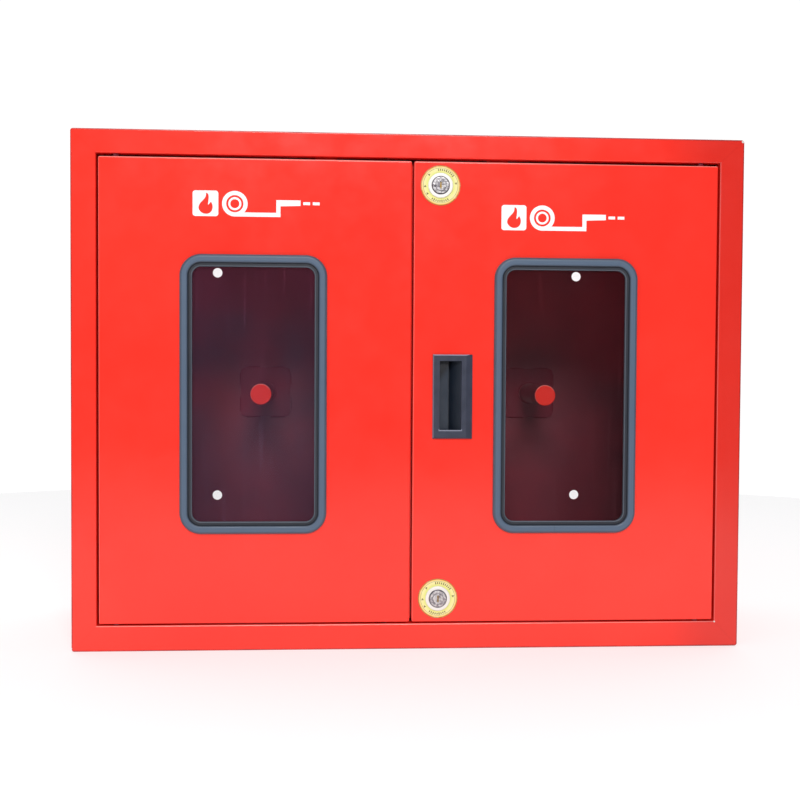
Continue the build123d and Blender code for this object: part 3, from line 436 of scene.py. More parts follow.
def paint_case_shade(tree, place, colour, smear):
    """The case's colour, darker on the face of its right end, with broken dark lines along its folds.
    Both are painted shade.
    """
    tint = {"data_type": "RGBA", "blend_type": "MULTIPLY"}
    axes = add(tree, "ShaderNodeSeparateXYZ", {0: place}).outputs
    # Painted shade: the front face darkens towards the right end.
    by_side = {0: axes["X"], 1: CASE_SIDE - 110 * MM, 2: CASE_SIDE - 20 * MM}
    right_end = add(tree, "ShaderNodeMapRange", by_side, interpolation_type="SMOOTHSTEP")
    by_front = {0: axes["Y"], 1: FRONT + 1 * MM, 2: FRONT + 8 * MM, 3: 1.0, 4: 0.0}
    face = add(tree, "ShaderNodeMapRange", by_front, interpolation_type="SMOOTHSTEP")
    shaded_right_end = add(tree, "ShaderNodeMix", {0: 1.0, 6: colour, 7: (0.76, 0.8, 0.86, 1)}, **tint)
    on_face = add(tree, "ShaderNodeMath", {0: right_end, 1: face}, operation="MULTIPLY")
    colour = add(tree, "ShaderNodeMix", {0: on_face, 6: colour, 7: shaded_right_end}, data_type="RGBA")
    # Painted shade: broken dark lines along the case's outer front folds.
    fold_shade_colour = add(tree, "ShaderNodeMix", {0: 1.0, 6: colour, 7: (0.42, 0.3, 0.36, 1)}, **tint)
    broken = add(tree, "ShaderNodeMapRange", {0: smear, 1: 0.35, 2: 0.65, 3: 0.55, 4: 1.0})
    darkening = add(tree, "ShaderNodeMath", {0: painted_fold_shade(tree, place), 1: broken}, operation="MULTIPLY")
    return add(tree, "ShaderNodeMix", {0: darkening, 6: colour, 7: fold_shade_colour}, data_type="RGBA")


def into_gasket(tree, place, side):
    """Distance inwards from the window rubber's outer outline, a rectangle with round corners."""
    low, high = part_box(f"{side}_window_gasket")
    middle, half = (low + high) / 2, (high - low) / 2
    core = (half.x - GASKET_CORNER, 0.0, half.z - GASKET_CORNER)
    offset = add(tree, "ShaderNodeVectorMath", {0: place, 1: middle}, operation="SUBTRACT")
    folded = add(tree, "ShaderNodeVectorMath", {0: offset}, operation="ABSOLUTE")
    beyond = add(tree, "ShaderNodeVectorMath", {0: folded, 1: core}, operation="SUBTRACT")
    axes = add(tree, "ShaderNodeSeparateXYZ", {0: beyond}).outputs
    outward_x = add(tree, "ShaderNodeMath", {0: axes["X"], 1: 0.0}, operation="MAXIMUM")
    outward_z = add(tree, "ShaderNodeMath", {0: axes["Z"], 1: 0.0}, operation="MAXIMUM")
    outward = add(tree, "ShaderNodeCombineXYZ", {"X": outward_x, "Z": outward_z})
    round_part = add(tree, "ShaderNodeVectorMath", {0: outward}, operation="LENGTH")
    farther = add(tree, "ShaderNodeMath", {0: axes["X"], 1: axes["Z"]}, operation="MAXIMUM")
    flat_part = add(tree, "ShaderNodeMath", {0: farther, 1: 0.0}, operation="MINIMUM")
    outline = add(tree, "ShaderNodeMath", {0: round_part, 1: flat_part}, operation="ADD")
    return add(tree, "ShaderNodeMath", {0: GASKET_CORNER, 1: outline}, operation="SUBTRACT")


def extruded_rubber(paint, side):
    """EPDM window rubber: satin slate, fine die lines along the profile, pale dust on its outer foot."""
    material, tree, place = new_material(f"{side}_extruded_epdm_rubber")
    tint = {"data_type": "RGBA", "blend_type": "MULTIPLY"}
    smooth = {"interpolation_type": "SMOOTHSTEP"}
    across = into_gasket(tree, place, side)
    lines_at = add(tree, "ShaderNodeCombineXYZ", {"X": across})
    lines = add(tree, "ShaderNodeTexNoise", {"Vector": lines_at, "Scale": 1 / (1.1 * MM), "Detail": 3.0})
    dusting = {"Vector": place, "Scale": 1 / (26 * MM), "Detail": 5.0, "Roughness": 0.65}
    dust = add(tree, "ShaderNodeTexNoise", dusting)
    foot = add(tree, "ShaderNodeMapRange", {0: across, 1: 0.0, 2: 2.4 * MM, 3: 1.0, 4: 0.0}, **smooth)
    settled = add(tree, "ShaderNodeMapRange", {0: dust, 1: 0.3, 2: 0.7, 3: 0.25, 4: 0.8})
    dusty = add(tree, "ShaderNodeMath", {0: foot, 1: settled}, operation="MULTIPLY")
    faint = add(tree, "ShaderNodeMath", {0: dusty, 1: 0.35}, operation="MULTIPLY")
    lined = add(tree, "ShaderNodeMix", {0: 1.0, 6: rgba(paint.rubber), 7: (0.8, 0.82, 0.85, 1)}, **tint)
    between = add(tree, "ShaderNodeMapRange", {0: lines, 1: 0.35, 2: 0.65})
    # Painted shade on the outer flank, a painted shadow in the groove and a painted highlight on the inner
    # lip.
    by_flank = {0: across, 1: 1.0 * MM, 2: 3.4 * MM, 3: 0.65, 4: 0.0}
    flank = add(tree, "ShaderNodeMapRange", by_flank, **smooth)
    groove = add(tree, "ShaderNodeMapRange", {0: across, 1: 7.4 * MM, 2: 9.6 * MM}, **smooth)
    inner_lip = add(tree, "ShaderNodeMapRange", {0: across, 1: 12.2 * MM, 2: 12.8 * MM}, **smooth)
    lip = add(tree, "ShaderNodeMath", {0: inner_lip, 1: 0.6}, operation="MULTIPLY")
    colour = add(tree, "ShaderNodeMix", {0: between, 6: lined, 7: rgba(paint.rubber)}, data_type="RGBA")
    for share, code in ((flank, "#2b323e"), (faint, "#8d99a4"), (groove, "#20252f"), (lip, "#5c6672")):
        colour = add(tree, "ShaderNodeMix", {0: share, 6: colour, 7: linear(code)}, data_type="RGBA")
    normal = add(tree, "ShaderNodeBump", {"Height": lines, "Distance": 0.06 * MM, "Strength": 0.6})
    pores = add(tree, "ShaderNodeTexNoise", {"Vector": place, "Scale": 1 / (0.9 * MM)})
    relief = {"Height": pores, "Distance": 0.02 * MM, "Strength": 0.5, "Normal": normal}
    normal = add(tree, "ShaderNodeBump", relief)
    gloss = add(tree, "ShaderNodeMapRange", {0: dust, 1: 0.3, 2: 0.7, 3: 0.38, 4: 0.52})
    inputs = {"Base Color": colour, "Roughness": gloss, "IOR": 1.5, "Normal": normal}
    rubber = add(tree, "ShaderNodeBsdfPrincipled", inputs)
    add(tree, "ShaderNodeOutputMaterial", {"Surface": rubber})
    return material


def float_glass(paint, side, haze):
    """Clear float glass: see-through, with a faint haze that thickens in wiped streaks.
    The haze is partly dust and partly a painted reflection of the room; towards the top it turns redder
    and brighter as painted light on the interior behind.
    """
    material, tree, place = new_material(f"{side}_clear_float_glass")
    low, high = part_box(f"{side}_window_glass")
    wipe_at = add(tree, "ShaderNodeMapping", {"Vector": place, "Scale": (1.0, 1.0, 0.35)})
    wiped = add(tree, "ShaderNodeTexNoise", {"Vector": wipe_at, "Scale": 1 / (55 * MM), "Detail": 4.0})
    cloudy = {0: wiped, 1: 0.3, 2: 0.75, 3: haze * 0.75, 4: haze * 1.3}
    film = add(tree, "ShaderNodeMapRange", cloudy)
    # Vertical streaks in the haze: partly wiping marks, partly painted reflection lines.
    streak_at = add(tree, "ShaderNodeMapping", {"Vector": place, "Scale": (1.0, 1.0, 0.05)})
    streaks = add(tree, "ShaderNodeTexNoise", {"Vector": streak_at, "Scale": 1 / (7 * MM), "Detail": 1.0})
    streaky = add(tree, "ShaderNodeMapRange", {0: streaks, 1: 0.64, 2: 0.74, 3: 0.0, 4: haze * 0.8})
    film = add(tree, "ShaderNodeMath", {0: film, 1: streaky}, operation="ADD")
    facing = add(tree, "ShaderNodeLayerWeight", {"Blend": 0.12}).outputs["Fresnel"]
    cover = add(tree, "ShaderNodeMath", {0: film, 1: facing}, operation="MAXIMUM")
    dusty = add(tree, "ShaderNodeMath", {0: film, 1: cover}, operation="DIVIDE")
    # Painted light: the haze turns redder and brighter towards the top of the pane.
    height = add(tree, "ShaderNodeSeparateXYZ", {0: place}).outputs["Z"]
    rising = add(tree, "ShaderNodeMapRange", {0: height, 1: low.z, 2: high.z})
    cloud = add(tree, "ShaderNodeTexNoise", {"Vector": place, "Scale": 1 / (110 * MM), "Detail": 3.0})
    patch = add(tree, "ShaderNodeMapRange", {0: cloud, 1: 0.3, 2: 0.7, 3: -0.35, 4: 0.35})
    uneven = add(tree, "ShaderNodeMath", {0: rising, 1: patch}, operation="ADD")
    upper = add(tree, "ShaderNodeMapRange", {0: uneven, 1: 0.35, 2: 1.0}, interpolation_type="SMOOTHSTEP")
    dust = rgba(getattr(paint, f"{side}_pane"))
    painted_upper_light_mix = {0: 1.0, 6: dust, 7: (2.1, 0.75, 0.8, 1)}
    painted_upper_light = add(tree, "ShaderNodeMix", painted_upper_light_mix, data_type="RGBA", blend_type="MULTIPLY")
    haze_and_reflection_colour = add(tree, "ShaderNodeMix", {0: upper, 6: dust, 7: painted_upper_light}, data_type="RGBA")
    colour = add(tree, "ShaderNodeMix", {0: dusty, 6: (0, 0, 0, 1), 7: haze_and_reflection_colour}, data_type="RGBA")
    mirror = add(tree, "ShaderNodeMapRange", {0: facing, 1: 0.1, 2: 0.5, 3: 0.0, 4: 0.5})
    inputs = {
        "Base Color": colour,
        "Roughness": add(tree, "ShaderNodeMapRange", {0: wiped, 1: 0.3, 2: 0.75, 3: 0.03, 4: 0.09}),
        "IOR": 1.52,
        "Specular IOR Level": mirror,
        "Alpha": cover,
    }
    glass = add(tree, "ShaderNodeBsdfPrincipled", inputs)
    add(tree, "ShaderNodeOutputMaterial", {"Surface": glass})
    return material


def chrome_plate(end):
    """Chrome on die-cast zinc: polished, worn on the nose, satin on the bezel, painted shade at the seams.
    The bezel's near-white colour is also a painted reflection.
    """
    material, tree, place = new_material(f"{end}_chrome_plated_zinc")
    smooth = {"interpolation_type": "SMOOTHSTEP"}
    away = from_lock_axis(tree, place, end)
    satin = add(tree, "ShaderNodeMapRange", {0: away, 1: 9.6 * MM, 2: 10.4 * MM}, **smooth)
    hairs_at = add(tree, "ShaderNodeMapping", {"Vector": place, "Scale": (0.12, 1.0, 1.0)})
    hairs = add(tree, "ShaderNodeTexNoise", {"Vector": hairs_at, "Scale": 1 / (1.2 * MM), "Detail": 4.0})
    stained = {"Vector": place, "Scale": 1 / (3.0 * MM), "Detail": 4.0, "Roughness": 0.65}
    stain = add(tree, "ShaderNodeTexNoise", stained)
    polish = add(tree, "ShaderNodeMapRange", {0: hairs, 1: 0.35, 2: 0.7, 3: 0.22, 4: 0.4})
    blasted = add(tree, "ShaderNodeMath", {0: satin, 1: 0.62}, operation="MULTIPLY")
    gloss = add(tree, "ShaderNodeMath", {0: polish, 1: blasted}, operation="MAXIMUM")
    worn = add(tree, "ShaderNodeMapRange", {0: stain, 1: 0.38, 2: 0.62})
    metal = {0: worn, 6: linear("#e6e3e2"), 7: linear("#8f8a90")}
    nose = add(tree, "ShaderNodeMix", metal, data_type="RGBA")
    # The bezel's near-white colour: its satin plate, and also a painted reflection.
    colour = add(tree, "ShaderNodeMix", {0: satin, 6: nose, 7: linear("#f2efe9")}, data_type="RGBA")
    # Painted shade: a dark ring at the seam round the nose and round the plug.
    inner, outer = 0.3 * MM, 0.9 * MM
    for radius, darkness in ((NOSE_RING, 0.8), (PLUG_RING, 0.45)):
        before_ring = {0: away, 1: radius - outer, 2: radius - inner}
        rising = add(tree, "ShaderNodeMapRange", before_ring, **smooth)
        past_ring = {0: away, 1: radius + inner, 2: radius + outer, 3: 1.0, 4: 0.0}
        falling = add(tree, "ShaderNodeMapRange", past_ring, **smooth)
        ring = add(tree, "ShaderNodeMath", {0: rising, 1: falling}, operation="MULTIPLY")
        seam_shade = add(tree, "ShaderNodeMath", {0: ring, 1: darkness}, operation="MULTIPLY")
        colour = add(tree, "ShaderNodeMix", {0: seam_shade, 6: colour, 7: linear("#575260")}, data_type="RGBA")
    inputs = {
        "Base Color": colour,
        "Roughness": gloss,
        "Metallic": add(tree, "ShaderNodeMapRange", {0: satin, 1: 0.0, 2: 1.0, 3: 1.0, 4: 0.45}),
        "Normal": add(tree, "ShaderNodeBump", {"Height": hairs, "Distance": 0.01 * MM, "Strength": 0.5}),
    }
    chrome = add(tree, "ShaderNodeBsdfPrincipled", inputs)
    add(tree, "ShaderNodeOutputMaterial", {"Surface": chrome})
    return material


def zinc_plate():
    """Bright zinc plate on steel: grey, slightly bluish, with soft crystal patches and a straw tint."""
    material, tree, place = new_material("bright_zinc_plated_steel")
    crystals = add(tree, "ShaderNodeTexVoronoi", {"Vector": place, "Scale": 1 / (3.2 * MM)})
    shade = add(tree, "ShaderNodeSeparateColor", {0: crystals.outputs["Color"]})
    passivate = add(tree, "ShaderNodeTexNoise", {"Vector": place, "Scale": 1 / (9 * MM), "Detail": 3.0})
    straw = add(tree, "ShaderNodeMapRange", {0: passivate, 1: 0.45, 2: 0.75, 3: 0.0, 4: 0.5})
    plate = {0: shade, 6: linear("#a9adb1"), 7: linear("#cfd2d3")}
    colour = add(tree, "ShaderNodeMix", plate, data_type="RGBA")
    colour = add(tree, "ShaderNodeMix", {0: straw, 6: colour, 7: linear("#d8cfae")}, data_type="RGBA")
    fine = add(tree, "ShaderNodeTexNoise", {"Vector": place, "Scale": 1 / (0.8 * MM)})
    inputs = {
        "Base Color": colour,
        "Roughness": add(tree, "ShaderNodeMapRange", {0: shade, 1: 0.0, 2: 1.0, 3: 0.28, 4: 0.42}),
        "Metallic": 1.0,
        "Normal": add(tree, "ShaderNodeBump", {"Height": fine, "Distance": 0.02 * MM, "Strength": 0.5}),
    }
    zinc = add(tree, "ShaderNodeBsdfPrincipled", inputs)
    add(tree, "ShaderNodeOutputMaterial", {"Surface": zinc})
    return material


def moulded_plastic(paint):
    """Moulded ABS, dark slate and half matt. Its fine spark texture is drawn at 0.7 mm so that it shows."""
    material, tree, place = new_material("moulded_abs_plastic")
    slate = rgba(paint.plastic)
    spark = add(tree, "ShaderNodeTexNoise", {"Vector": place, "Scale": 1 / (0.7 * MM)})
    rub = add(tree, "ShaderNodeTexNoise", {"Vector": place, "Scale": 1 / (14 * MM), "Detail": 4.0})
    handled = add(tree, "ShaderNodeMapRange", {0: rub, 1: 0.4, 2: 0.75})
    paler = {0: 1.0, 6: slate, 7: (1.3, 1.3, 1.35, 1)}
    worn = add(tree, "ShaderNodeMix", paler, data_type="RGBA", blend_type="MULTIPLY")
    depth = add(tree, "ShaderNodeSeparateXYZ", {0: place}).outputs["Y"]
    into_cup = {0: depth, 1: FRONT, 2: FRONT + 3.0 * MM}
    inside = add(tree, "ShaderNodeMapRange", into_cup, interpolation_type="SMOOTHSTEP")
    colour = add(tree, "ShaderNodeMix", {0: handled, 6: slate, 7: worn}, data_type="RGBA")
    painted_highlight, shaded = painted_edge_highlights(tree, place), painted_cup_shadow(tree, place)
    # Painted shade in the cup, painted highlights on its edges, painted shadow in its slot and under its
    # top.
    for share, code in ((inside, "#1f2937"), (painted_highlight, "#8f93a6"), (shaded, "#0b0d14")):
        colour = add(tree, "ShaderNodeMix", {0: share, 6: colour, 7: linear(code)}, data_type="RGBA")
    inputs = {
        "Base Color": colour,
        "Roughness": add(tree, "ShaderNodeMapRange", {0: rub, 1: 0.3, 2: 0.7, 3: 0.34, 4: 0.48}),
        "IOR": 1.53,
        "Normal": add(tree, "ShaderNodeBump", {"Height": spark, "Distance": 0.03 * MM, "Strength": 0.6}),
    }
    plastic = add(tree, "ShaderNodeBsdfPrincipled", inputs)
    add(tree, "ShaderNodeOutputMaterial", {"Surface": plastic})
    return material


def buffer_rubber():
    """Moulded black rubber: matt, with grey bloom."""
    material, tree, place = new_material("moulded_black_rubber")
    bloom = add(tree, "ShaderNodeTexNoise", {"Vector": place, "Scale": 1 / (4 * MM), "Detail": 4.0})
    bloomed = add(tree, "ShaderNodeMapRange", {0: bloom, 1: 0.4, 2: 0.7})
    black = {0: bloomed, 6: linear("#1b1b1c"), 7: linear("#2e2e31")}
    colour = add(tree, "ShaderNodeMix", black, data_type="RGBA")
    pores = add(tree, "ShaderNodeTexNoise", {"Vector": place, "Scale": 1 / (0.6 * MM)})
    normal = add(tree, "ShaderNodeBump", {"Height": pores, "Distance": 0.03 * MM, "Strength": 0.5})
    inputs = {"Base Color": colour, "Roughness": 0.72, "IOR": 1.5, "Normal": normal}
    rubber = add(tree, "ShaderNodeBsdfPrincipled", inputs)
    add(tree, "ShaderNodeOutputMaterial", {"Surface": rubber})
    return material


def cut_film(labels):
    """Cast vinyl film: flat white, softly glossy, faintly wavy from the paint below it."""
    material, tree, place = new_material("cut_cast_vinyl")
    white = rgba(labels.film)
    darkening = add(tree, "ShaderNodeTexNoise", {"Vector": place, "Scale": 1 / (16 * MM), "Detail": 4.0})
    grimy = add(tree, "ShaderNodeMapRange", {0: darkening, 1: 0.45, 2: 0.8})
    dulled = {0: 1.0, 6: white, 7: (0.94, 0.91, 0.9, 1)}
    dull = add(tree, "ShaderNodeMix", dulled, data_type="RGBA", blend_type="MULTIPLY")
    colour = add(tree, "ShaderNodeMix", {0: grimy, 6: white, 7: dull}, data_type="RGBA")
    waves = add(tree, "ShaderNodeTexNoise", {"Vector": place, "Scale": 1 / (2.6 * MM)})
    normal = add(tree, "ShaderNodeBump", {"Height": waves, "Distance": 0.03 * MM, "Strength": 0.5})
    inputs = {"Base Color": colour, "Roughness": 0.36, "IOR": 1.46, "Normal": normal}
    film = add(tree, "ShaderNodeBsdfPrincipled", inputs)
    add(tree, "ShaderNodeOutputMaterial", {"Surface": film})
    return material


def printed_ring(labels, end):
    """Printed vinyl ring under clear laminate: pale yellow, greener beside the lock, orange at the edge."""
    material, tree, place = new_material(f"{end}_printed_vinyl_ring")
    smooth = {"interpolation_type": "SMOOTHSTEP"}
    low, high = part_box(f"{end}_lock_label")
    radius = (high.x - low.x) / 2
    yellow = rgba(labels.label)
    away = from_lock_axis(tree, place, end)
    rim = add(tree, "ShaderNodeMapRange", {0: away, 1: radius - 2.4 * MM, 2: radius - 1.2 * MM}, **smooth)
    by_lock = {0: away, 1: radius - 7.6 * MM, 2: radius - 4.6 * MM, 3: 1.0, 4: 0.0}
    inner = add(tree, "ShaderNodeMapRange", by_lock, **smooth)
    greener = {0: 1.0, 6: yellow, 7: (0.85, 0.97, 0.66, 1)}
    green = add(tree, "ShaderNodeMix", greener, data_type="RGBA", blend_type="MULTIPLY")
    line_low = add(tree, "ShaderNodeMapRange", {0: away, 1: radius - 3.3 * MM, 2: radius - 3.0 * MM})
    past_line = {0: away, 1: radius - 2.8 * MM, 2: radius - 2.5 * MM, 3: 1.0, 4: 0.0}
    line_high = add(tree, "ShaderNodeMapRange", past_line)
    thin_line = add(tree, "ShaderNodeMath", {0: line_low, 1: line_high}, operation="MULTIPLY")
    line = add(tree, "ShaderNodeMath", {0: thin_line, 1: 0.7}, operation="MULTIPLY")
    # Painted shadow: a dark brown line at the ring's very edge.
    by_edge = {0: away, 1: radius - 1.0 * MM, 2: radius - 0.5 * MM, 3: 0.0, 4: 0.75}
    outline = add(tree, "ShaderNodeMapRange", by_edge)
    scuffs = add(tree, "ShaderNodeTexNoise", {"Vector": place, "Scale": 1 / (5 * MM), "Detail": 4.0})
    wear = add(tree, "ShaderNodeMapRange", {0: scuffs, 1: 0.5, 2: 0.8, 3: 0.0, 4: 0.3})
    colour = add(tree, "ShaderNodeMix", {0: inner, 6: yellow, 7: green}, data_type="RGBA")
    layers = (
        (rim, rgba(labels.label_rim)),
        (line, rgba(labels.mark)),
        (outline, linear("#7a3f1c")),
        (wear, linear("#fbf6dc")),
    )
    for share, ink in layers:
        colour = add(tree, "ShaderNodeMix", {0: share, 6: colour, 7: ink}, data_type="RGBA")
    waves = add(tree, "ShaderNodeTexNoise", {"Vector": place, "Scale": 1 / (2.6 * MM)})
    normal = add(tree, "ShaderNodeBump", {"Height": waves, "Distance": 0.02 * MM, "Strength": 0.5})
    inputs = {"Base Color": colour, "Roughness": 0.3, "IOR": 1.46, "Normal": normal}
    vinyl = add(tree, "ShaderNodeBsdfPrincipled", inputs)
    add(tree, "ShaderNodeOutputMaterial", {"Surface": vinyl})
    return material


def printed_ink(labels):
    """Screen-printed ink: flat olive, slightly worn."""
    material, tree, place = new_material("screen_printed_ink")
    scuffs = add(tree, "ShaderNodeTexNoise", {"Vector": place, "Scale": 1 / (1.5 * MM), "Detail": 3.0})
    wear = add(tree, "ShaderNodeMapRange", {0: scuffs, 1: 0.5, 2: 0.75, 3: 0.0, 4: 0.5})
    worn = {0: wear, 6: rgba(labels.mark), 7: rgba(labels.label)}
    colour = add(tree, "ShaderNodeMix", worn, data_type="RGBA")
    ink = add(tree, "ShaderNodeBsdfPrincipled", {"Base Color": colour, "Roughness": 0.45, "IOR": 1.48})
    add(tree, "ShaderNodeOutputMaterial", {"Surface": ink})
    return material


def lock_brass():
    """Stamped brass wafers in the keyway: warm yellow metal, dulled by oil."""
    material, tree, place = new_material("stamped_brass")
    oil = add(tree, "ShaderNodeTexNoise", {"Vector": place, "Scale": 1 / (1.5 * MM), "Detail": 3.0})
    oiled = {0: oil, 6: linear("#b8923c"), 7: linear("#8a6c2f")}
    colour = add(tree, "ShaderNodeMix", oiled, data_type="RGBA")
    gloss = add(tree, "ShaderNodeMapRange", {0: oil, 1: 0.3, 2: 0.7, 3: 0.3, 4: 0.45})
    inputs = {"Base Color": colour, "Roughness": gloss, "Metallic": 1.0}
    brass = add(tree, "ShaderNodeBsdfPrincipled", inputs)
    add(tree, "ShaderNodeOutputMaterial", {"Surface": brass})
    return material


def paint_nodes(names, material):
    """Give CAD nodes one material in every slot."""
    for name in names:
        for slot in NODES[name].material_slots:
            slot.material = material


# ---------------------------------------------------------------- pieces from Geometry Nodes
def tree_with_inputs(name, sockets):
    """A Geometry Nodes tree with a geometry input and output and the named inputs given."""
    tree = bpy.data.node_groups.new(name, "GeometryNodeTree")
    tree.interface.new_socket(name="Geometry", in_out="INPUT", socket_type="NodeSocketGeometry")
    for label, kind in sockets:
        tree.interface.new_socket(name=label, in_out="INPUT", socket_type=kind)
    tree.interface.new_socket(name="Geometry", in_out="OUTPUT", socket_type="NodeSocketGeometry")
    return tree, add(tree, "NodeGroupInput").outputs


def close_tree(tree, geometry, material):
    """End a tree in Realize Instances and Set Material."""
    plain = add(tree, "GeometryNodeRealizeInstances", {"Geometry": geometry})
    faced = add(tree, "GeometryNodeSetMaterial", {"Geometry": plain, "Material": material})
    add(tree, "NodeGroupOutput", {0: faced})


def polyline_mesh(name, lines):
    """Edges along each line of points. A line whose last point is its first is closed."""
    verts, edges = [], []
    for line in lines:
        closed = (line[0] - line[-1]).length < 0.01 * MM
        points = line[:-1] if closed else line
        start = len(verts)
        verts.extend(points)
        edges.extend((start + step, start + step + 1) for step in range(len(points) - 1))
        if closed:
            edges.append((start + len(points) - 1, start))
    mesh = bpy.data.meshes.new(name)
    mesh.from_pydata(verts, edges, [])
    return mesh


def grow(name, mesh, tree, values, body):
    """Run a tree on a mesh and keep its result as one plain mesh that rides on a body."""
    source = bpy.data.objects.new(f"{name}_path", mesh)
    bpy.context.scene.collection.objects.link(source)
    modifier = source.modifiers.new("grow", "NODES")
    modifier.node_group = tree
    for item in tree.interface.items_tree:
        if item.in_out == "INPUT" and item.name in values:
            modifier[item.identifier] = values[item.name]
    graph = bpy.context.evaluated_depsgraph_get()
    result = bpy.data.meshes.new_from_object(source.evaluated_get(graph))
    source.modifiers.remove(modifier)
    bpy.data.objects.remove(source)
    if not result.polygons:
        raise RuntimeError(f"{name} came out empty")
    result.name = name
    piece = bpy.data.objects.new(name, result)
    bpy.context.scene.collection.objects.link(piece)
    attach(piece, body)
    return piece


def weld_bead_tree(material):
    """A rippled weld bead along each path."""
    sockets = [("Bead Radius", "NodeSocketFloat"), ("Ripple", "NodeSocketFloat"), ("Seed", "NodeSocketInt")]
    tree, given = tree_with_inputs("weld_bead", sockets)
    steps_per_ripple = 6
    path = add(tree, "GeometryNodeMeshToCurve", {"Mesh": given["Geometry"]})
    step = add(tree, "ShaderNodeMath", {0: given["Ripple"], 1: steps_per_ripple}, operation="DIVIDE")
    dense = add(tree, "GeometryNodeResampleCurve", {"Curve": path, "Length": step}, mode="LENGTH")
    index = add(tree, "GeometryNodeInputIndex")
    half_turns = {0: index, 1: math.pi / steps_per_ripple}
    phase = add(tree, "ShaderNodeMath", half_turns, operation="MULTIPLY")
    wave = add(tree, "ShaderNodeMath", {0: phase}, operation="SINE")
    ripple = add(tree, "ShaderNodeMath", {0: wave}, operation="ABSOLUTE")
    width = add(tree, "ShaderNodeMapRange", {0: ripple, 3: 0.8, 4: 1.0})
    uneven = add(tree, "FunctionNodeRandomValue", {2: 0.94, 3: 1.04, "Seed": given["Seed"]})
    scale = add(tree, "ShaderNodeMath", {0: width, 1: uneven}, operation="MULTIPLY")
    ring = {"Resolution": 10, "Radius": given["Bead Radius"]}
    profile = add(tree, "GeometryNodeCurvePrimitiveCircle", ring)
    inputs = {"Curve": dense, "Profile Curve": profile, "Scale": scale, "Fill Caps": True}
    bead = add(tree, "GeometryNodeCurveToMesh", inputs)
    smooth = add(tree, "GeometryNodeSetShadeSmooth", {"Geometry": bead})
    close_tree(tree, smooth, material)
    return tree


def spot_weld_tree(material):
    """Shallow round spot-weld rings at a fixed pitch along each path."""
    sizes = ("Spot Radius", "Pitch", "Rise")
    tree, given = tree_with_inputs("spot_weld", [(size, "NodeSocketFloat") for size in sizes])
    path = add(tree, "GeometryNodeMeshToCurve", {"Mesh": given["Geometry"]})
    spacing = {"Curve": path, "Length": given["Pitch"]}
    places = add(tree, "GeometryNodeResampleCurve", spacing, mode="LENGTH")
    ring = {"Resolution": 20, "Radius": given["Spot Radius"]}
    circle = add(tree, "GeometryNodeCurvePrimitiveCircle", ring)
    section = {"Resolution": 8, "Radius": given["Rise"]}
    wire = add(tree, "GeometryNodeCurvePrimitiveCircle", section)
    rim = add(tree, "GeometryNodeCurveToMesh", {"Curve": circle, "Profile Curve": wire})
    facing = {"Geometry": rim, "Rotation": (math.pi / 2, 0, 0)}
    upright = add(tree, "GeometryNodeTransform", facing)
    smooth = add(tree, "GeometryNodeSetShadeSmooth", {"Geometry": upright})
    marks = add(tree, "GeometryNodeInstanceOnPoints", {"Points": places, "Instance": smooth})
    close_tree(tree, marks, material)
    return tree


def tick_tree(material):
    """Ticks at the mesh's points, turned along their `outward` and scaled by their `length_share`."""
    sizes = ("Tick Length", "Tick Width", "Thickness")
    tree, given = tree_with_inputs("label_ticks", [(size, "NodeSocketFloat") for size in sizes])
    sides = {"X": given["Tick Width"], "Y": given["Thickness"], "Z": given["Tick Length"]}
    size = add(tree, "ShaderNodeCombineXYZ", sides)
    tick = add(tree, "GeometryNodeMeshCube", {"Size": size})
    named = "GeometryNodeInputNamedAttribute"
    direction = add(tree, named, {"Name": "outward"}, data_type="FLOAT_VECTOR")
    length = add(tree, named, {"Name": "length_share"}, data_type="FLOAT")
    turn = add(tree, "FunctionNodeAlignRotationToVector", {"Vector": direction}, axis="Z")
    stretch = add(tree, "ShaderNodeCombineXYZ", {"X": 1.0, "Y": 1.0, "Z": length})
    inputs = {"Points": given["Geometry"], "Instance": tick, "Rotation": turn, "Scale": stretch}
    marks = add(tree, "GeometryNodeInstanceOnPoints", inputs)
    close_tree(tree, marks, material)
    return tree


def arrow_tree(material):
    """Flat arrowheads at the mesh's points, each turned along its `along` attribute."""
    sockets = [("Arrow Size", "NodeSocketFloat"), ("Thickness", "NodeSocketFloat")]
    tree, given = tree_with_inputs("label_arrows", sockets)
    prism = {"Vertices": 3, "Radius": given["Arrow Size"], "Depth": given["Thickness"]}
    head = add(tree, "GeometryNodeMeshCylinder", prism)
    facing = {"Geometry": head, "Rotation": (math.pi / 2, 0, 0)}
    flat = add(tree, "GeometryNodeTransform", facing)
    named = "GeometryNodeInputNamedAttribute"
    direction = add(tree, named, {"Name": "along"}, data_type="FLOAT_VECTOR")
    turn = add(tree, "FunctionNodeAlignRotationToVector", {"Vector": direction}, axis="X")
    inputs = {"Points": given["Geometry"], "Instance": flat, "Rotation": turn}
    heads = add(tree, "GeometryNodeInstanceOnPoints", inputs)
    close_tree(tree, heads, material)
    return tree


